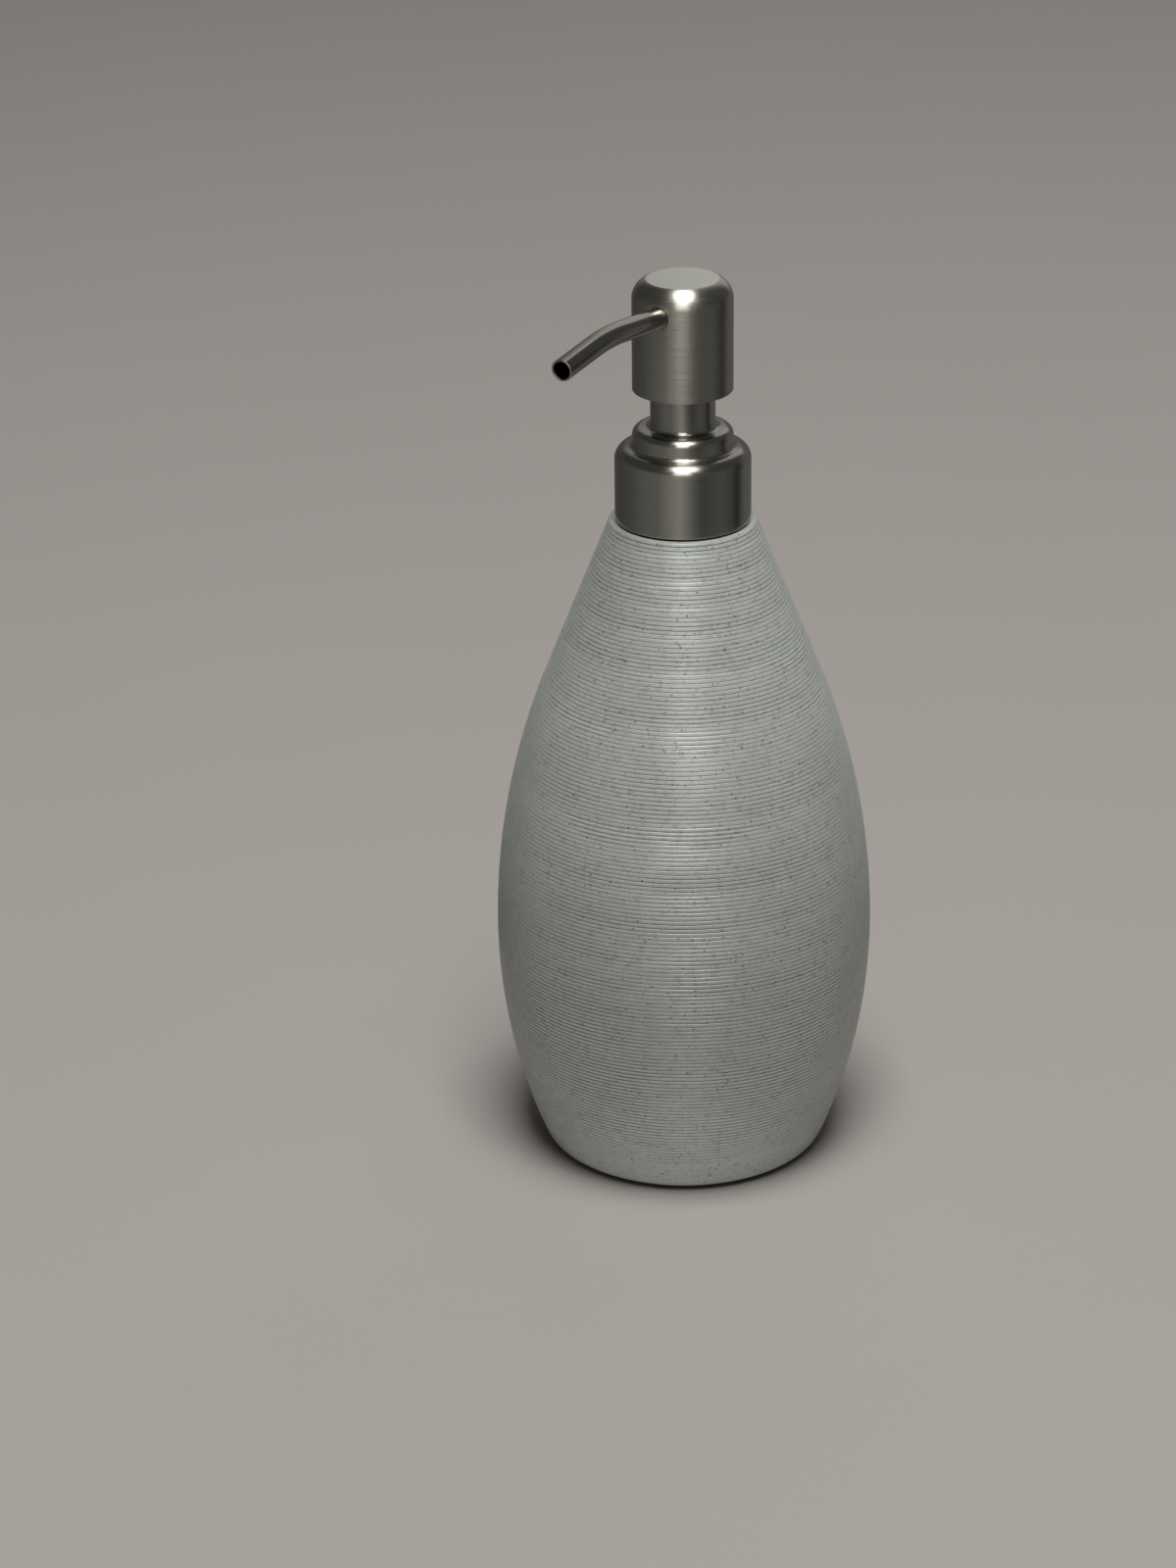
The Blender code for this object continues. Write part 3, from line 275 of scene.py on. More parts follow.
class DispenserStage(PropertyGroup):
    floor: colour("Floor", "Colour of the paper floor", "#918c87")
    air: colour("Surroundings", "Colour of the light from all round", "#4d4c4a")
    floor_radius: length("Floor Radius", "Radius of the paper floor", 4.0)
    reflector_radius: length("Reflector Radius", "Radius of the graded reflector round the bottle", 0.12)
    reflector_height: length("Reflector Height", "Height of the reflector's upright wall", 0.222)
    reflector_lip: length("Reflector Lip", "Height of the lip that leans in over the wall", 0.078)
    reflector_mouth: share("Reflector Mouth", "Share of the radius that the lip leaves open", 0.7)
    hood_glow: FloatProperty(name="Hood Glow", description="Hood's brightness over the wall's", default=2.2)
    hood_rise: length("Hood Rise", "Height of the hood over the lip", 0.035)
    hood_mouth: share("Hood Mouth", "Share of the lip's opening that the hood leaves open", 0.25)
    hood_window: angle("Hood Window", "Half of the gap that the hood leaves for the lamp overhead", 80)
    lens: FloatProperty(name="Lens", description="Focal length in mm", default=91.935, unit="CAMERA")
    camera_azimuth: angle("Camera Azimuth", "Direction of the camera, from the front", 29)
    camera_distance: length("Camera Distance", "Distance of the camera from the axis", 0.8683)
    camera_height: length("Camera Height", "Height of the camera over the floor", 0.4857)
    camera_heading: angle("Camera Heading", "Direction that the camera looks in", 30.5)
    camera_tilt: angle("Camera Tilt", "Angle by which the camera looks down", 24.4)
    camera_roll: angle("Camera Roll", "Turn of the camera about its own line of sight", -0.73)


def lamp_values(name, what, watts, width, depth, azimuth, elevation, distance, height):
    """Properties that describe one lamp, under the names that they have on the stage."""
    title = name.title()
    return {
        f"{name}_power": power(f"{title} Power", f"Power of the {what}", watts),
        f"{name}_width": length(f"{title} Width", f"Width of the {what}", width),
        f"{name}_depth": length(f"{title} Depth", f"Height of the {what}", depth),
        f"{name}_azimuth": angle(f"{title} Azimuth", f"Direction of the {what}, from the front", azimuth),
        f"{name}_elevation": angle(f"{title} Elevation", f"Angle at which the {what} looks down", elevation),
        f"{name}_distance": length(f"{title} Distance", f"Distance of the {what} from its aim", distance),
        f"{name}_height": length(f"{title} Aim", f"Height on the axis that the {what} looks at", height),
    }


for lamp_name, lamp_sizes in LAMPS.items():
    DispenserStage.__annotations__.update(lamp_values(lamp_name, *lamp_sizes))


def add_node(tree, kind, values=(), **settings):
    """Add a node with its settings; values maps an input's name or place to a value or an output socket."""
    made = tree.nodes.new(kind)
    for name, value in settings.items():
        setattr(made, name, value)
    for key, value in dict(values).items():
        if isinstance(value, bpy.types.NodeSocket):
            tree.links.new(value, made.inputs[key])
        else:
            made.inputs[key].default_value = value
    return made


def new_material(name, **values):
    """Material with one Principled shader; returns it, its tree, its shader and the Object coordinates."""
    made = bpy.data.materials.new(name)
    made.use_nodes = True
    tree = made.node_tree
    shader = tree.nodes["Principled BSDF"]
    for socket, value in values.items():
        shader.inputs[socket.replace("_", " ")].default_value = value
    return made, tree, shader, add_node(tree, "ShaderNodeTexCoord").outputs["Object"]


def opaque(colour):
    return (*colour, 1.0)


def toned(tree, colour, pattern, low, high, reach=(0.0, 1.0)):
    """Colour times a tone that goes from low to high while the pattern goes through its reach."""
    tone = add_node(tree, "ShaderNodeMapRange", {
        "Value": pattern, "From Min": reach[0], "From Max": reach[1], "To Min": low, "To Max": high,
    })
    return add_node(tree, "ShaderNodeMix", {
        "Factor": 1.0, 6: colour, 7: tone.outputs["Result"],
    }, data_type="RGBA", blend_type="MULTIPLY").outputs[2]


def surfaced(tree, shader, colour, relief, strength, depth):
    """Give the shader its colour, and a relief that is as deep as given where its strength is one."""
    bump = add_node(tree, "ShaderNodeBump", {"Height": relief, "Strength": strength, "Distance": depth})
    tree.links.new(colour, shader.inputs["Base Color"])
    tree.links.new(bump.outputs["Normal"], shader.inputs["Normal"])


def cast_mineral(settings):
    """Acrylic-bound plaster cast in a mould: a matt, mottled grey with dark sand grains and pinholes."""
    made, tree, shader, place = new_material("cast_mineral", Roughness=0.33)

    # Clouds of about 20 mm, from pigment that didn't mix fully
    clouds = add_node(tree, "ShaderNodeTexNoise", {"Vector": place, "Scale": 1 / (18.18 * MM), "Detail": 4.0})
    cloud_mix = add_node(tree, "ShaderNodeMapRange", {
        "Value": clouds.outputs["Fac"], "From Min": 0.35, "From Max": 0.7,
    })
    body = add_node(tree, "ShaderNodeMix", {
        "Factor": cloud_mix.outputs["Result"], 6: opaque(settings.body), 7: opaque(settings.shade),
    }, data_type="RGBA")

    # Soft blotches of 2 to 4 mm
    blotch = add_node(tree, "ShaderNodeTexNoise", {
        "Vector": place, "Scale": 1 / (2.381 * MM), "Detail": 3.0, "Roughness": 0.65,
    })
    colour = toned(tree, body.outputs[2], blotch.outputs["Fac"], 0.94, 1.05, NOISE_REACH)

    # Fine grain of 0.5 mm
    grain = add_node(tree, "ShaderNodeTexNoise", {"Vector": place, "Scale": 1 / (0.5263 * MM), "Detail": 3.0})
    colour = toned(tree, colour, grain.outputs["Fac"], 0.93, 1.06, NOISE_REACH)

    # Groove floors look darker: partly the dust of sanding, partly painted shade in the hollows
    groove = add_node(tree, "ShaderNodeAttribute", attribute_name="groove")
    colour = toned(tree, colour, groove.outputs["Fac"], 1.0, 0.69)

    # Faint shadows of grains under the surface, then ragged sand grains, and more of the small ones
    ragged = add_node(tree, "ShaderNodeTexNoise", {
        "Vector": place, "Scale": 1 / (0.2857 * MM), "Detail": 1.0,
    })
    shifted = add_node(tree, "ShaderNodeVectorMath", {
        0: ragged.outputs["Color"], 1: (0.3 * MM, 0.3 * MM, 0.3 * MM), 2: place,
    }, operation="MULTIPLY_ADD")
    for spacing, size, strength in ((2.3, 0.9, 0.22), (1.5, 0.34, 0.95), (0.8, 0.19, 0.75)):
        cells = add_node(tree, "ShaderNodeTexVoronoi", {
            "Vector": shifted.outputs["Vector"], "Scale": 1 / (spacing * MM), "Randomness": 1.0,
        })
        tone = add_node(tree, "ShaderNodeSeparateColor", {"Color": cells.outputs["Color"]})
        reach = add_node(tree, "ShaderNodeMapRange", {
            "Value": tone.outputs["Green"], "To Min": 0.4 * size / spacing, "To Max": size / spacing,
        })
        spread = add_node(tree, "ShaderNodeMath", {
            0: cells.outputs["Distance"], 1: reach.outputs["Result"],
        }, operation="DIVIDE")
        disc = add_node(tree, "ShaderNodeMapRange", {
            "Value": spread.outputs["Value"], "From Min": 0.55, "From Max": 1.1,
            "To Min": strength, "To Max": 0.0,
        })
        speckled = add_node(tree, "ShaderNodeMix", {
            "Factor": disc.outputs["Result"], 6: colour, 7: opaque(settings.speck),
        }, data_type="RGBA")
        colour = speckled.outputs[2]

    # Pits left by air in the mould, 1 mm wide and rare
    holes = add_node(tree, "ShaderNodeTexVoronoi", {"Vector": place, "Scale": 1 / (6.667 * MM)})
    hole_tone = add_node(tree, "ShaderNodeSeparateColor", {"Color": holes.outputs["Color"]})
    chosen = add_node(tree, "ShaderNodeMath", {0: hole_tone.outputs["Red"], 1: 0.12}, operation="LESS_THAN")
    disc = add_node(tree, "ShaderNodeMapRange", {
        "Value": holes.outputs["Distance"], "From Min": 0.035, "From Max": 0.085,
        "To Min": 1.0, "To Max": 0.0,
    })
    pits = add_node(tree, "ShaderNodeMath", {
        0: disc.outputs["Result"], 1: chosen.outputs["Value"],
    }, operation="MULTIPLY")
    relief = add_node(tree, "ShaderNodeMath", {0: grain.outputs["Fac"], 1: 0.07}, operation="MULTIPLY")
    pitted = add_node(tree, "ShaderNodeMath", {
        0: relief.outputs["Value"], 1: pits.outputs["Value"],
    }, operation="SUBTRACT")
    surfaced(tree, shader, colour, pitted.outputs["Value"], 0.7, 0.25 * MM)
    return made


def brushed_stainless(name, colour, roughness, lines, round_axis=True):
    """Stainless steel brushed with a fine belt: dark, warm and drawn out across the lines of the brushing.

    The lines are 0.08 mm apart on the real sheet and are drawn at the given spacing, which is as coarse
    as it takes to show them. They run round the axis, or along Y on a straight tube.
    """
    made, tree, shader, place = new_material(name, Metallic=1.0, Roughness=roughness)
    if round_axis:
        # Height less radius grows steadily from a drawn cup's rim, over its edge, to its middle
        part = add_node(tree, "ShaderNodeSeparateXYZ", {"Vector": place})
        flat = add_node(tree, "ShaderNodeMapping", {"Vector": place, "Scale": (1, 1, 0)})
        radius = add_node(tree, "ShaderNodeVectorMath", {
            "Vector": flat.outputs["Vector"],
        }, operation="LENGTH")
        across = add_node(tree, "ShaderNodeMath", {
            0: part.outputs["Z"], 1: radius.outputs["Value"],
        }, operation="SUBTRACT")
        place = add_node(tree, "ShaderNodeCombineXYZ", {
            "X": part.outputs["X"], "Y": part.outputs["Y"], "Z": across.outputs["Value"],
        }).outputs["Vector"]
    long = 1.0 / (9 * MM)
    fine = 1.0 / lines
    scale = (long, long, fine) if round_axis else (fine, long, fine)
    drawn = add_node(tree, "ShaderNodeMapping", {"Vector": place, "Scale": scale})
    strokes = add_node(tree, "ShaderNodeTexNoise", {
        "Vector": drawn.outputs["Vector"], "Scale": 1.0, "Detail": 3.0, "Roughness": 0.6,
    })
    gloss = add_node(tree, "ShaderNodeMapRange", {
        "Value": strokes.outputs["Fac"], "From Min": NOISE_REACH[0], "From Max": NOISE_REACH[1],
        "To Min": roughness * 0.85, "To Max": roughness * 1.2,
    })
    tree.links.new(gloss.outputs["Result"], shader.inputs["Roughness"])
    steel = toned(tree, opaque(colour), strokes.outputs["Fac"], 0.93, 1.05, NOISE_REACH)
    surfaced(tree, shader, steel, strokes.outputs["Fac"], 0.12 if round_axis else 0.05, 0.01 * MM)
    if round_axis:
        shader.inputs["Anisotropic"].default_value = 0.75
        shader.inputs["Anisotropic Rotation"].default_value = 0.25
        tangent = add_node(tree, "ShaderNodeTangent", direction_type="RADIAL", axis="Z")
        tree.links.new(tangent.outputs["Tangent"], shader.inputs["Tangent"])
    return made


def satin_stainless(pump):
    """Stainless steel sanded in small circles: even, with a fine grain and no direction; its colour, paler
    than the brushed steel's, is painted light on the flat top.
    """
    made, tree, shader, place = new_material("satin_stainless", Metallic=1.0, Roughness=pump.top_steel)
    grain = add_node(tree, "ShaderNodeTexNoise", {
        "Vector": place, "Scale": 1 / (0.35 * MM), "Detail": 3.0, "Roughness": 0.7,
    })
    colour = toned(tree, opaque(pump.satin), grain.outputs["Fac"], 0.92, 1.05, NOISE_REACH)
    surfaced(tree, shader, colour, grain.outputs["Fac"], 0.3, 0.02 * MM)
    return made


def moulded_plastic(name, code, roughness, **values):
    """Injection-moulded plastic: even colour with the faint orange peel of the tool's surface."""
    made, tree, shader, place = new_material(name, Roughness=roughness, **values)
    peel = add_node(tree, "ShaderNodeTexNoise", {"Vector": place, "Scale": 1 / (0.35 * MM), "Detail": 2.0})
    colour = toned(tree, opaque(linear(code)), peel.outputs["Fac"], 0.94, 1.04)
    surfaced(tree, shader, colour, peel.outputs["Fac"], 0.2, 0.02 * MM)
    return made


def cell_foam():
    """Closed-cell EVA foam: black and dull, with open cells of about 0.4 mm on the cut face."""
    made, tree, shader, place = new_material("cell_foam", Roughness=0.9)
    cells = add_node(tree, "ShaderNodeTexVoronoi", {"Vector": place, "Scale": 1 / (0.4545 * MM)})
    ramp = add_node(tree, "ShaderNodeMapRange", {"Value": cells.outputs["Distance"], "From Max": 0.6})
    # Darker in each cell's hollow: painted shade in the pores
    mixed = add_node(tree, "ShaderNodeMix", {
        "Factor": ramp.outputs["Result"], 6: opaque(linear("#1c1c1b")), 7: opaque(linear("#3a3a38")),
    }, data_type="RGBA")
    surfaced(tree, shader, mixed.outputs[2], ramp.outputs["Result"], 0.5, 0.1 * MM)
    return made


def soft_seal():
    """Moulded polyethylene foam and TPE: off-white, dull and slightly waxy."""
    return moulded_plastic("soft_elastomer", "#d9d8d0", 0.6, Subsurface_Weight=0.15, Subsurface_Scale=1 * MM)


def drawn_wire():
    """Stainless spring wire: bright, with faint marks along the wire from the die."""
    made, tree, shader, place = new_material("spring_wire", Metallic=1.0, Roughness=0.28)
    long, fine = 1 / (11.11 * MM), 1 / (0.3846 * MM)
    drawn = add_node(tree, "ShaderNodeMapping", {"Vector": place, "Scale": (long, long, fine)})
    marks = add_node(tree, "ShaderNodeTexNoise", {
        "Vector": drawn.outputs["Vector"], "Scale": 1.0, "Detail": 2.0,
    })
    mixed = add_node(tree, "ShaderNodeMix", {
        "Factor": marks.outputs["Fac"], 6: opaque(linear("#9a9a98")), 7: opaque(linear("#c4c4c1")),
    }, data_type="RGBA")
    tree.links.new(mixed.outputs[2], shader.inputs["Base Color"])
    return made


def valve_ball():
    """Chrome steel ball: nearly mirror bright, with a trace of wear from its seat."""
    made, tree, shader, place = new_material("valve_ball_steel", Metallic=1.0, Roughness=0.12)
    haze = add_node(tree, "ShaderNodeTexNoise", {"Vector": place, "Scale": 1 / (0.7143 * MM), "Detail": 3.0})
    gloss = add_node(tree, "ShaderNodeMapRange", {
        "Value": haze.outputs["Fac"], "To Min": 0.07, "To Max": 0.2,
    })
    tree.links.new(gloss.outputs["Result"], shader.inputs["Roughness"])
    shader.inputs["Base Color"].default_value = opaque(linear("#b9b9b6"))
    return made


def mesh_of(bm, name):
    """Mesh of the bmesh, which is freed."""
    mesh = bpy.data.meshes.new(name)
    bm.to_mesh(mesh)
    bm.free()
    return mesh


def shown(name, data):
    """New object of the mesh, lamp or camera, in the scene."""
    made = bpy.data.objects.new(name, data)
    bpy.context.scene.collection.objects.link(made)
    return made


def put(bm, name, material, node):
    """Make a smooth-shaded piece, and tie it to the body of the node it stands for."""
    mesh = mesh_of(bm, name)
    mesh.shade_smooth()
    mesh.set_sharp_from_angle(angle=SMOOTH_ANGLE)
    mesh.materials.append(material)
    piece = shown(name, mesh)
    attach(piece, frame["nodes"][node]["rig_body"])
    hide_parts(node)
    return piece


def settle(piece):
    """Apply the piece's modifiers, so that its mesh is final."""
    graph = bpy.context.evaluated_depsgraph_get()
    mesh = bpy.data.meshes.new_from_object(piece.evaluated_get(graph))
    piece.modifiers.clear()
    mesh.name = piece.name
    piece.data = mesh


def line(bm, corners, closed=False):
    """Wire of (radius, height) corners in the XZ plane; a corner may add a rounding's tangent and steps."""
    verts = [bm.verts.new((corner[0], 0, corner[1])) for corner in corners]
    for pair in zip(verts, verts[1:]):
        bm.edges.new(pair)
    if closed:
        bm.edges.new((verts[-1], verts[0]))
    for vert, corner in zip(verts, corners):
        if len(corner) > 2:
            round_corner(bm, vert, corner[2], corner[3])
    return verts


def round_corner(bm, vert, tangent, steps):
    bmesh.ops.bevel(
        bm, geom=[vert], offset=tangent, offset_type="OFFSET", segments=steps,
        profile=0.5, affect="VERTICES", material=-1,
    )


def spin_round(bm, steps):
    """Spin the wire in bm once round Z, and weld what meets."""
    bmesh.ops.spin(
        bm, geom=bm.verts[:] + bm.edges[:], cent=(0, 0, 0), axis=(0, 0, 1), dvec=(0, 0, 0),
        angle=2 * pi, steps=steps, use_merge=True, use_duplicate=False,
    )
    bmesh.ops.remove_doubles(bm, verts=bm.verts, dist=MERGE_DISTANCE)
    bmesh.ops.recalc_face_normals(bm, faces=bm.faces)


def node_shell(node):
    """Copy of a node's mesh, with its loose triangles joined."""
    bm = bmesh.new()
    bm.from_mesh(frame["nodes"][node].data)
    bmesh.ops.remove_doubles(bm, verts=bm.verts, dist=MERGE_DISTANCE)
    return bm


def section_of(node):
    """Outline of a turned node as a wire in the XZ plane, where its facets meet."""
    bm = node_shell(node)
    bmesh.ops.delete(bm, geom=bm.faces[:], context="FACES_ONLY")
    beside = [vert for vert in bm.verts if abs(vert.co.y) > PLANE_REACH or vert.co.x < -PLANE_REACH]
    bmesh.ops.delete(bm, geom=beside, context="VERTS")
    return bm


def round_corners(bm, tangent):
    """Round each sharp corner of a wire that has room for it on both sides."""
    for vert in bm.verts[:]:
        if len(vert.link_edges) != 2:
            continue
        arms = [edge.other_vert(vert).co - vert.co for edge in vert.link_edges]
        if arms[0].angle(arms[1]) < CORNER_ANGLE and min(arm.length for arm in arms) > 2 * tangent:
            round_corner(bm, vert, tangent, 3)


def turned(node, material, tangent=PLASTIC_EDGE, steps=PLASTIC_STEPS):
    """Spin a node's own outline again with fine steps and rounded corners."""
    bm = section_of(node)
    round_corners(bm, tangent)
    spin_round(bm, steps)
    return put(bm, f"{node}_finished", material, node)


def copied(node, material):
    """Stand a smooth copy of a node in its place."""
    return put(node_shell(node), f"{node}_finished", material, node)


def sheet_metal(piece, thickness, edge):
    """Give a shell its wall, inwards, round the sheet's sharp edges and keep its flats flat in the light."""
    wall = piece.modifiers.new("sheet", "SOLIDIFY")
    wall.thickness = thickness
    wall.offset = -1
    wall.use_even_offset = True
    bevel = piece.modifiers.new("broken_edges", "BEVEL")
    bevel.width = edge
    bevel.segments = 2
    bevel.limit_method = "ANGLE"
    bevel.angle_limit = BEVEL_ANGLE
    piece.modifiers.new("even_light", "WEIGHTED_NORMAL").keep_sharp = True


def arc(centre, radius, start, end, steps):
    sweep = [start + (end - start) * step / steps for step in range(steps + 1)]
    return [(centre[0] + radius * cos(turn), centre[1] + radius * sin(turn)) for turn in sweep]


def shoulder_slope(settings):
    """Angle of the straight shoulder, halved in on until the arc below it ends where the line begins."""
    rise = LEDGE_Z - RIM_Z - settings.belly_height
    run = BOTTLE_RADIUS - settings.ledge_radius
    curved = settings.shoulder_share
    low, high = 0.0, pi / 2
    for _ in range(HALVINGS):
        slope = (low + high) / 2
        reach = curved * tan(slope / 2) + (1 - curved) * tan(slope)
        low, high = (slope, high) if reach * rise < run else (low, slope)
    return low


def wall_line(settings, inset, bottom, fillet, steps):
    """Foot and wall of the bottle up to the straight shoulder, both moved in by the inset."""
    slope = shoulder_slope(settings)
    belly_z = RIM_Z + settings.belly_height
    upper_radius = settings.shoulder_share * (LEDGE_Z - belly_z) / sin(slope)
    taper = BOTTLE_RADIUS - settings.foot_radius
    lower_radius = (settings.belly_height ** 2 + taper ** 2) / (2 * taper)
    lower_centre = (BOTTLE_RADIUS - lower_radius, belly_z)
    drop = belly_z - bottom - fillet
    reach = sqrt((lower_radius - inset - fillet) ** 2 - drop ** 2)
    foot_angle = -atan2(drop, reach)
    foot = arc((lower_centre[0] + reach, bottom + fillet), fillet, -pi / 2, foot_angle, FOOT_STEPS)
    lower = arc(lower_centre, lower_radius - inset, foot_angle, 0, steps)
    upper = arc((BOTTLE_RADIUS - upper_radius, belly_z), upper_radius - inset, 0, slope, steps)
    return foot, lower + upper[1:]


def groove_share(height):
    """Share of the full groove depth at a height in mm over the foot."""
    for low, high in zip(GROOVE_BANDS, GROOVE_BANDS[1:]):
        if low <= height < high:
            rise = (height - low) / (high - low)
            swell = SWELL_HEIGHT * min(1.0, SWELL_GROWTH * rise) * (1 - rise) ** SWELL_FALL
            banding = min(1.0, FOOT_BANDING + height / BAND_HEIGHT)
            swell = banding * swell + (1 - banding) * MEAN_SWELL
            fade = min(1.0, height / FADE_HEIGHT)
            faded = fade * fade * (3 - 2 * fade)
            deepened = 1 + DEEP_GAIN * min(1.0, max(0.0, (DEEP_HEIGHT - height) / DEEP_RUN))
            return (SHALLOW_SHARE + (1 - SHALLOW_SHARE) * swell) * faded * deepened
    return 0.0


def grooved(points, pitch, depth):
    """Walk along a line of (radius, height) points, and cut a groove into it at each pitch."""
    lengths = [0.0]
    for near, far in zip(points, points[1:]):
        lengths.append(lengths[-1] + sqrt((far[0] - near[0]) ** 2 + (far[1] - near[1]) ** 2))
    count = round(lengths[-1] / pitch)
    step = lengths[-1] / count
    rings = []
    place = 0
    for number in range(count):
        for along, deep in GROOVE_SECTION:
            target = (number + along) * step
            while lengths[place + 1] < target:
                place += 1
            near, far = points[place], points[place + 1]
            span = lengths[place + 1] - lengths[place]
            blend = (target - lengths[place]) / span
            out = ((far[1] - near[1]) / span, (near[0] - far[0]) / span)
            radius = near[0] + (far[0] - near[0]) * blend
            height = near[1] + (far[1] - near[1]) * blend
            cut = deep * groove_share((height - RIM_Z) / MM)
            rings.append((radius - out[0] * cut * depth, height - out[1] * cut * depth, cut))
    return rings + [(*points[-1], 0.0)]


class DISPENSER_OT_bottle(Operator):
    """Cast the bottle, with its turned grooves outside and its hollow inside"""

    bl_idname = "dispenser.bottle"
    bl_label = "Bottle"

    def execute(self, context):
        settings = context.scene.dispenser_bottle
        slope = shoulder_slope(settings)
        foot, wall = wall_line(settings, 0, RIM_Z, settings.foot_fillet, OUTER_STEPS)
        floor_z = RIM_Z + settings.floor
        inner_foot, inner_wall = wall_line(
            settings, settings.wall, floor_z, settings.floor_fillet, INNER_STEPS,
        )

        fillet = settings.ledge_fillet
        ledge_centre = (settings.ledge_radius - fillet * (1 - sin(slope)) / cos(slope), LEDGE_Z - fillet)
        ledge = arc(ledge_centre, fillet, slope, pi / 2, LEDGE_STEPS)
        pad_radius, _, pad_top = size_of("base_pad")
        recess, recess_z = pad_radius + settings.fit, pad_top + settings.fit
        counterbore = INSERT_RADIUS + settings.fit
        seat_z = LEDGE_Z - settings.counterbore_depth
        mouth_z = LEDGE_Z - settings.mouth_depth
        cone_z = mouth_z - settings.mouth_slope
        cone_radius = inner_wall[-1][0] - (cone_z - inner_wall[-1][1]) * tan(slope)

        outline = [(0, recess_z), (recess, recess_z), (recess, RIM_Z)] + foot[:-1]
        outline = [(*point, 0) for point in outline]
        outline += grooved(wall + ledge[:1], settings.pitch, settings.depth)
        # Painted shade: the ledge under the collar is darkened through the same attribute as the groove
        # floors
        outline += [(*point, settings.ledge_painted_shade) for point in ledge[1:] + [(counterbore, LEDGE_Z)]]
        mouth = [
            (counterbore, seat_z), (settings.mouth_radius, seat_z),
            (settings.mouth_radius, mouth_z), (cone_radius, cone_z),
        ]
        inside = inner_wall[::-1] + inner_foot[-2::-1] + [(0, floor_z)]
        outline += [(*point, 0) for point in mouth + inside]

        # The groove layer holds each ring's share of a full cut, which darkens it as dust and painted shade,
        # and the ledge's painted shade
        bm = bmesh.new()
        groove = bm.verts.layers.float.new("groove")
        verts = line(bm, [point[:2] for point in outline])
        for vert, point in zip(verts, outline):
            vert[groove] = point[2]
        spin_round(bm, BOTTLE_STEPS)

        # The cut lines wander a little in depth round the bottle
        for vert in bm.verts:
            if vert[groove] > GROOVE_TRACE and vert.co.z < LEDGE_Z - settings.ledge_fillet:
                wander = noise.noise(vert.co * WANDER_SCALE) * WANDER_SHARE
                vert.co.xy -= vert.co.xy.normalized() * wander * vert[groove] * settings.depth
        put(bm, "bottle_cast", cast_mineral(settings), "bottle")
        return {"FINISHED"}


class DISPENSER_OT_base_pad(Operator):
    """Cut the foam pad under the bottle"""

    bl_idname = "dispenser.base_pad"
    bl_label = "Base Pad"

    def execute(self, context):
        turned("base_pad", cell_foam(), 0.2 * MM, steps=STEEL_STEPS)
        return {"FINISHED"}


def thread_ridge(root, crest, start_z, lead, foot_width):
    """Helical ridge on a wall of the root radius, sunk a little into it."""
    bm = bmesh.new()
    bite = 0.2 * MM if crest > root else -0.2 * MM
    half, land = foot_width / 2, foot_width / 5
    section = [
        (root - bite, start_z - half), (root, start_z - half), (crest, start_z - land),
        (crest, start_z + land), (root, start_z + half), (root - bite, start_z + half),
    ]
    line(bm, section, closed=True)
    steps = round(PLASTIC_STEPS * THREAD_TURNS)
    bmesh.ops.spin(
        bm, geom=bm.verts[:] + bm.edges[:], cent=(0, 0, 0), axis=(0, 0, 1),
        dvec=(0, 0, lead * THREAD_TURNS / steps), angle=2 * pi * THREAD_TURNS, steps=steps,
        use_merge=False, use_duplicate=False,
    )

    # The ridge rises from a tenth of its height to the whole over a ninth of its length at either end
    bm.verts.index_update()
    for vert in bm.verts:
        step = vert.index // len(section)
        grown = min(1.0, 0.1 + 8 * min(step, steps - step) / steps)
        radius = vert.co.xy.length
        if abs(radius - crest) < MERGE_DISTANCE:
            vert.co.xy *= (root + (crest - root) * grown) / radius
    bmesh.ops.holes_fill(bm, edges=bm.edges, sides=0)
    bmesh.ops.recalc_face_normals(bm, faces=bm.faces)
    return bm


def add_shell(bm, other):
    """Copy the shell in one bmesh into another."""
    mesh = mesh_of(other, "ridge")
    bm.from_mesh(mesh)
    bpy.data.meshes.remove(mesh)


class DISPENSER_OT_thread(Operator):
    """Mould the neck insert and the cap that screws onto it"""

    bl_idname = "dispenser.thread"
    bl_label = "Neck and Cap"

    def execute(self, context):
        pump = context.scene.dispenser_pump
        plastic = moulded_plastic("grey_polypropylene", "#55565a", 0.42)
        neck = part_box("neck_gasket")[1].x + pump.gasket_inset
        crest = neck + pump.thread_height
        first = LEDGE_Z + pump.thread_start

        bm = section_of("neck_insert")
        round_corners(bm, PLASTIC_EDGE)
        spin_round(bm, PLASTIC_STEPS)
        add_shell(bm, thread_ridge(neck, crest, first, pump.thread_lead, pump.thread_width))
        put(bm, "neck_insert_threaded", plastic, "neck_insert")

        bm = section_of("threaded_cap")
        bore = min(vert.co.x for vert in bm.verts if vert.co.z < LEDGE_Z + BORE_READ_HEIGHT)
        root = crest + pump.thread_gap
        for vert in bm.verts:
            if abs(vert.co.x - bore) < PLANE_REACH:
                vert.co.x = root
        round_corners(bm, PLASTIC_EDGE)
        spin_round(bm, PLASTIC_STEPS)
        tip, between = neck + pump.thread_gap, first - pump.thread_lead / 2
        add_shell(bm, thread_ridge(root, tip, between, pump.thread_lead, pump.thread_width))
        put(bm, "threaded_cap_finished", plastic, "threaded_cap")
        turned("chimney_bush", plastic)
        return {"FINISHED"}


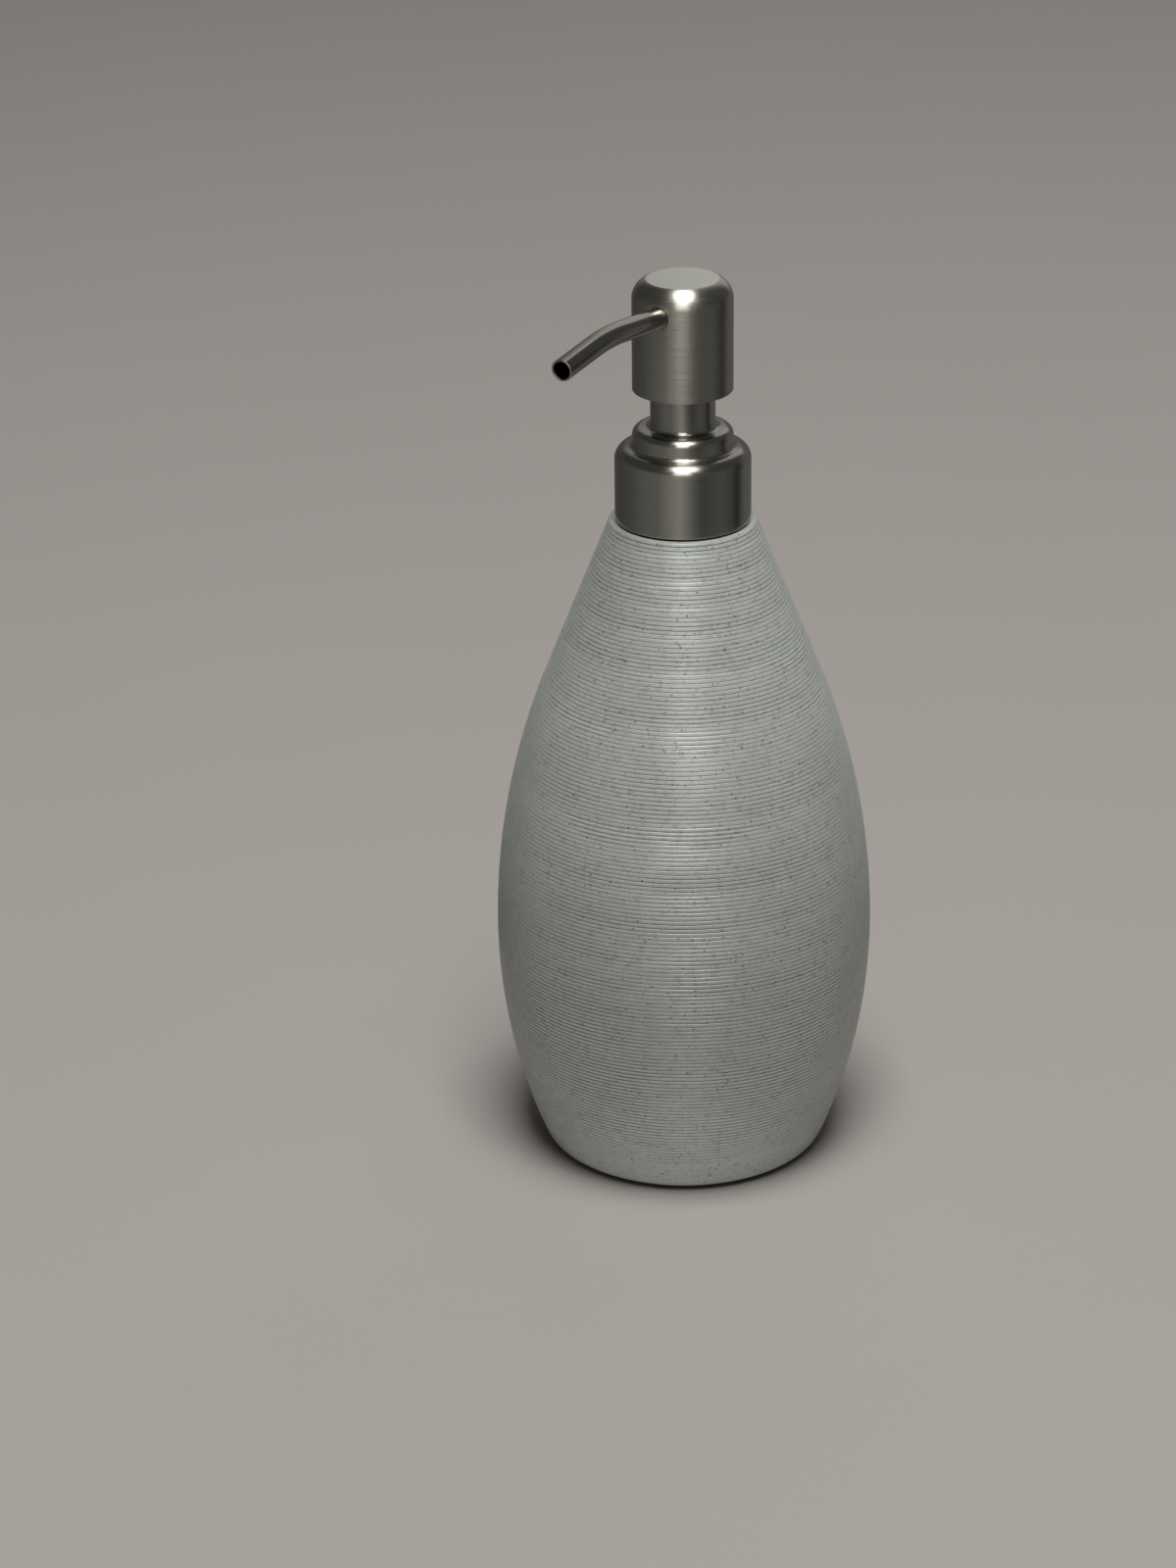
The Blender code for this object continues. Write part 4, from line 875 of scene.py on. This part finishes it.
def drawn_cover(pump, part, corners, roughness, thickness):
    """Spin a cover's outer line, and give it its brushed steel and its sheet's thickness."""
    bm = bmesh.new()
    line(bm, corners)
    spin_round(bm, STEEL_STEPS)

    # An open shell's widest face has to look away from the axis
    widest = max(bm.faces, key=lambda face: face.calc_center_median().xy.length)
    if widest.normal.xy.dot(widest.calc_center_median().xy) < 0:
        bmesh.ops.reverse_faces(bm, faces=bm.faces)
    steel = brushed_stainless(f"{part}_stainless", pump.steel, roughness, BRUSHING)
    piece = put(bm, f"{part}_drawn", steel, f"{part}_cover")
    sheet_metal(piece, thickness, SHEET_EDGE)
    return piece


class DISPENSER_OT_collar(Operator):
    """Draw the collar's skirt, shoulder, step and chimney from one sheet"""

    bl_idname = "dispenser.collar"
    bl_label = "Collar"

    def execute(self, context):
        pump = context.scene.dispenser_pump
        shoulder_z = COLLAR_Z + pump.shoulder_height
        step_z = COLLAR_Z + pump.step_height
        settle(drawn_cover(pump, "collar", (
            (COLLAR_RADIUS, COLLAR_Z),
            (COLLAR_RADIUS, shoulder_z, pump.shoulder_fillet, 14),
            (pump.step_radius, shoulder_z, pump.root_fillet, 8),
            (pump.step_radius, step_z, pump.step_fillet, 12),
            (pump.chimney_radius, step_z, pump.chimney_fillet, 8),
            (pump.chimney_radius, CHIMNEY_TOP_Z),
        ), pump.collar_steel, pump.collar_sheet))
        return {"FINISHED"}


def spout_placement(pump, along):
    """Frame on the spout's first straight at a distance from the pump's axis, with Z out along the spout."""
    lie = Matrix.Rotation(pi / 2 - pump.spout_tilt, 4, "X")
    return Matrix.Translation((0, 0, HEAD_TOP_Z - pump.spout_drop)) @ lie @ Matrix.Translation((0, 0, along))


class DISPENSER_OT_head(Operator):
    """Draw the press head and punch the hole for the spout"""

    bl_idname = "dispenser.head"
    bl_label = "Press Head"

    def execute(self, context):
        pump = context.scene.dispenser_pump
        radius = pump.head_edge
        top_angle = asin(pump.head_edge_share)
        tangent = radius * tan(top_angle / 2)
        centre = (HEAD_RADIUS - radius, HEAD_TOP_Z - pump.head_edge_share * radius)

        # The large rounding ends just short of the top, which keeps a soft edge of its own
        piece = drawn_cover(pump, "head", (
            (HEAD_RADIUS, HEAD_Z),
            (HEAD_RADIUS, centre[1] + tangent, HEAD_ROUNDING * tangent, 20),
            (centre[0] + radius * cos(top_angle), HEAD_TOP_Z, TOP_EDGE, 4),
            (0, HEAD_TOP_Z),
        ), pump.head_steel, pump.head_sheet)

        punch = bmesh.new()
        bmesh.ops.create_cone(
            punch, cap_ends=True, segments=SPOUT_STEPS, radius1=pump.spout_radius + pump.spout_gap,
            radius2=pump.spout_radius + pump.spout_gap, depth=HEAD_RADIUS * 2,
            matrix=spout_placement(pump, HEAD_RADIUS),
        )
        tool = shown("spout_punch", mesh_of(punch, "spout_punch"))
        hole = piece.modifiers.new("spout_hole", "BOOLEAN")
        hole.object = tool
        hole.solver = "EXACT"
        context.view_layer.update()
        settle(piece)
        bpy.data.objects.remove(tool)

        # The flat top has a finish of its own, and a paler colour that is painted light
        piece.data.materials.append(satin_stainless(pump))
        for face in piece.data.polygons:
            if face.normal.z > sin(pump.finish_angle) and face.center.z > centre[1]:
                face.material_index = 1
        copied("spout_seal", soft_seal())
        copied("head_core", moulded_plastic("head_polypropylene", "#5a5b5e", 0.4))
        return {"FINISHED"}


def extend(bm, edges, way):
    """Extrude a ring of edges, and return the vertices and the edges of the new ring."""
    made = bmesh.ops.extrude_edge_only(bm, edges=edges)["geom"]
    verts = [item for item in made if isinstance(item, bmesh.types.BMVert)]
    bmesh.ops.translate(bm, verts=verts, vec=way)
    return verts, [item for item in made if isinstance(item, bmesh.types.BMEdge)]


class DISPENSER_OT_spout(Operator):
    """Bend the spout's tube and round its ends"""

    bl_idname = "dispenser.spout"
    bl_label = "Spout"

    def execute(self, context):
        pump = context.scene.dispenser_pump
        out = Matrix.Rotation(pi / 2 - pump.spout_tilt, 3, "X") @ Vector((0, 0, 1))
        up = Vector((0, out.z, -out.y))
        bm = bmesh.new()
        start = spout_placement(pump, pump.spout_start)
        bmesh.ops.create_circle(
            bm, cap_ends=False, segments=SPOUT_STEPS, radius=pump.spout_radius, matrix=start,
        )
        straight = pump.spout_straight - pump.spout_start
        verts, edges = extend(bm, bm.edges[:], out * straight)
        bend = start.translation + out * straight - up * pump.spout_bend_radius
        turn = bmesh.ops.spin(
            bm, geom=verts + edges, cent=bend, axis=(1, 0, 0), dvec=(0, 0, 0), angle=pump.spout_bend,
            steps=BEND_STEPS, use_merge=False, use_duplicate=False,
        )["geom_last"]
        last = Matrix.Rotation(pump.spout_bend, 3, "X") @ out
        extend(bm, [edge for edge in turn if isinstance(edge, bmesh.types.BMEdge)], last * pump.spout_tail)
        bmesh.ops.remove_doubles(bm, verts=bm.verts, dist=MERGE_DISTANCE)
        bmesh.ops.recalc_face_normals(bm, faces=bm.faces)
        first = next(iter(bm.faces))
        if first.normal.dot(first.calc_center_median() - start.translation) < 0:
            bmesh.ops.reverse_faces(bm, faces=bm.faces)
        steel = brushed_stainless("spout_stainless", pump.steel, pump.spout_steel, 0.2 * MM, round_axis=False)
        piece = put(bm, "spout_bent", steel, "spout_tube")
        sheet_metal(piece, pump.spout_wall, 0.12 * MM)
        settle(piece)
        return {"FINISHED"}


class DISPENSER_OT_inner(Operator):
    """Mould the inner pieces of the pump, wind its spring and seat its ball"""

    bl_idname = "dispenser.inner"
    bl_label = "Pump Inside"

    def execute(self, context):
        natural = moulded_plastic(
            "natural_polypropylene", "#dcdcd6", 0.38, Subsurface_Weight=0.2, Subsurface_Scale=1.5 * MM,
        )
        for node in ("pump_cylinder", "ball_cage", "stem_tube"):
            copied(node, natural)
        turned("stem_guide", natural)
        turned("stem_plug", natural)
        milky = moulded_plastic("milky_polyethylene", "#d2d6d6", 0.32, Transmission_Weight=0.35)
        copied("dip_tube", milky)
        seal = soft_seal()
        turned("neck_gasket", seal, 0.2 * MM)
        turned("piston_seal", seal, 0.1 * MM)
        spring = copied("return_spring", drawn_wire())
        low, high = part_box("return_spring")
        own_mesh(spring)
        low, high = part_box("check_ball")
        bm = bmesh.new()
        radius, middle = (high.z - low.z) / 2, Matrix.Translation((low + high) / 2)
        bmesh.ops.create_uvsphere(bm, u_segments=48, v_segments=24, radius=radius, matrix=middle)
        put(bm, "check_ball_ground", valve_ball(), "check_ball")
        return {"FINISHED"}


def paper_floor(stage):
    """Matt seamless paper: pale, warm and even, with the faintest cloud in its pulp."""
    made, tree, shader, place = new_material("matt_paper", Roughness=0.9)
    pulp = add_node(tree, "ShaderNodeTexNoise", {"Vector": place, "Scale": 1 / (111.1 * MM), "Detail": 3.0})
    colour = toned(tree, opaque(stage.floor), pulp.outputs["Fac"], 0.985, 1.015)
    tree.links.new(colour, shader.inputs["Base Color"])
    return made


def glowing_grey_card(name, stage, cards, strength):
    """Card that glows with printed soft greys, lit by no lamp, which gives the round steel its dark and light
    bands.
    """
    made, tree, shader, place = new_material(name, Roughness=1.0, Emission_Strength=strength)
    shader.inputs["Base Color"].default_value = (0, 0, 0, 1)
    shader.inputs["Specular IOR Level"].default_value = 0.0

    # The gradient runs from 0 to 1 in a full turn, and is 0.5 on the camera's side
    facing = add_node(tree, "ShaderNodeMapping", {
        "Vector": place, "Rotation": (0, 0, pi / 2 - stage.camera_azimuth),
    })
    sweep = add_node(tree, "ShaderNodeTexGradient", {
        "Vector": facing.outputs["Vector"],
    }, gradient_type="RADIAL")
    ramp = add_node(tree, "ShaderNodeValToRGB", {"Fac": sweep.outputs["Fac"]})
    stops = ramp.color_ramp.elements
    stops.remove(stops[1])
    for count, (direction, grey) in enumerate(cards):
        stop = stops.new(0.5 + direction / 360) if count else stops[0]
        stop.color = opaque(linear(f"#{grey:02x}{grey:02x}{grey:02x}"))
    tree.links.new(ramp.outputs["Color"], shader.inputs["Emission Color"])
    return made


def stage_piece(bm, name, material):
    mesh = mesh_of(bm, name)
    mesh.materials.append(material)
    piece = shown(name, mesh)
    return piece


def polar(azimuth, distance, height):
    """Point seen from the bottle at an azimuth that counts from -Y towards +X."""
    return Vector((sin(azimuth) * distance, -cos(azimuth) * distance, height))


class DISPENSER_OT_stage(Operator):
    """Lay the paper floor, and set the lamps, the reflector and the camera"""

    bl_idname = "dispenser.stage"
    bl_label = "Stage"

    def execute(self, context):
        stage = context.scene.dispenser_stage
        scene = context.scene
        bm = bmesh.new()
        bmesh.ops.create_circle(bm, cap_ends=True, segments=STAGE_STEPS, radius=stage.floor_radius)
        stage_piece(bm, "paper_floor", paper_floor(stage))

        bm = bmesh.new()
        bmesh.ops.create_circle(bm, cap_ends=False, segments=STAGE_STEPS, radius=stage.reflector_radius)
        edges = extend(bm, bm.edges[:], Vector((0, 0, stage.reflector_height)))[1]
        lip, hood = (stage.reflector_lip, stage.reflector_mouth), (stage.hood_rise, stage.hood_mouth)
        for rise, mouth in (lip, hood):
            verts, edges = extend(bm, edges, Vector((0, 0, rise)))
            bmesh.ops.scale(bm, verts=verts, vec=(mouth, mouth, 1))

        # The hood is open towards the lamp overhead
        towards = polar(stage.key_azimuth, 1, 0)
        window = [
            face for face in bm.faces
            if face.normal.z and face.calc_center_median().angle(towards, pi) < stage.hood_window
            and face.calc_center_median().z > stage.reflector_height + stage.reflector_lip
        ]
        bmesh.ops.delete(bm, geom=window, context="FACES")
        for face in bm.faces:
            face.material_index = int(face.calc_center_median().z > stage.reflector_height)
        # The reflector glows and is seen only in reflections, standing in for the light and shade of a room
        # round the steel
        reflector = stage_piece(bm, "reflector", glowing_grey_card("wall_paper", stage, WALL_CARDS, 1.0))
        reflector.data.materials.append(glowing_grey_card("hood_paper", stage, HOOD_CARDS, stage.hood_glow))
        reflector.visible_camera = False
        reflector.visible_diffuse = False
        reflector.visible_shadow = False

        # The bounce card lights the bottle alone, and the strip lamp is mirrored in it alone
        receivers = bpy.data.collections.new("bottle_receivers")
        receivers.objects.link(bpy.data.objects["bottle_cast"])
        sizes = ("power", "width", "depth", "azimuth", "elevation", "distance", "height")
        for name in LAMPS:
            watts, width, depth, azimuth, elevation, distance, height = (
                getattr(stage, f"{name}_{size}") for size in sizes
            )
            data = bpy.data.lights.new(f"{name}_lamp", "AREA")
            data.shape = "RECTANGLE"
            data.size = width
            data.size_y = depth
            data.energy = watts
            lamp = shown(f"{name}_lamp", data)
            lamp.location = Vector((0, 0, height)) + polar(azimuth, cos(elevation), sin(elevation)) * distance
            lamp.rotation_euler = (pi / 2 - elevation, 0, azimuth)
            lamp.visible_camera = False
            lamp.visible_glossy = name != "fill"
            lamp.visible_diffuse = name != "sheen"
            if name in ("fill", "sheen"):
                lamp.light_linking.receiver_collection = receivers

        world = bpy.data.worlds.new("studio_air")
        world.use_nodes = True
        air = world.node_tree.nodes["Background"]
        air.inputs["Color"].default_value = opaque(stage.air)
        scene.world = world
        scene.view_settings.view_transform = "Standard"

        data = bpy.data.cameras.new("camera")
        data.sensor_fit = "VERTICAL"
        data.sensor_height = 36
        data.lens = stage.lens
        camera = shown("camera", data)
        heading = Matrix.Rotation(stage.camera_heading, 4, "Z")
        tilt = Matrix.Rotation(pi / 2 - stage.camera_tilt, 4, "X")
        roll = Matrix.Rotation(stage.camera_roll, 4, "Z")
        spot = polar(stage.camera_azimuth, stage.camera_distance, stage.camera_height)
        camera.matrix_world = Matrix.Translation(spot) @ heading @ tilt @ roll
        scene.camera = camera
        return {"FINISHED"}


GROUPS = {
    "dispenser_bottle": DispenserBottle, "dispenser_pump": DispenserPump, "dispenser_stage": DispenserStage,
}
PIECES = (
    DISPENSER_OT_bottle, DISPENSER_OT_base_pad, DISPENSER_OT_thread, DISPENSER_OT_collar, DISPENSER_OT_head,
    DISPENSER_OT_spout, DISPENSER_OT_inner, DISPENSER_OT_stage,
)


class DISPENSER_PT_pieces(Panel):
    """List of the dispenser's pieces, with their sizes and colours"""

    bl_idname = "DISPENSER_PT_pieces"
    bl_label = "Dispenser"
    bl_space_type = "VIEW_3D"
    bl_region_type = "UI"
    bl_category = "Dispenser"

    def draw(self, context):
        layout = self.layout
        for piece in PIECES:
            layout.operator(piece.bl_idname)
        for group_name in GROUPS:
            group = getattr(context.scene, group_name)
            box = layout.box()
            for name in group.bl_rna.properties.keys():
                if name not in ("rna_type", "name"):
                    box.prop(group, name)


def register():
    for item in (*GROUPS.values(), *PIECES, DISPENSER_PT_pieces):
        bpy.utils.register_class(item)
    for name, group in GROUPS.items():
        setattr(bpy.types.Scene, name, PointerProperty(type=group))


def unregister():
    for name in GROUPS:
        delattr(bpy.types.Scene, name)
    for item in (DISPENSER_PT_pieces, *PIECES, *GROUPS.values()):
        bpy.utils.unregister_class(item)


def main():
    register()
    for piece in PIECES:
        group, name = piece.bl_idname.split(".")
        getattr(getattr(bpy.ops, group), name)()


if __name__ == "__main__":
    main()
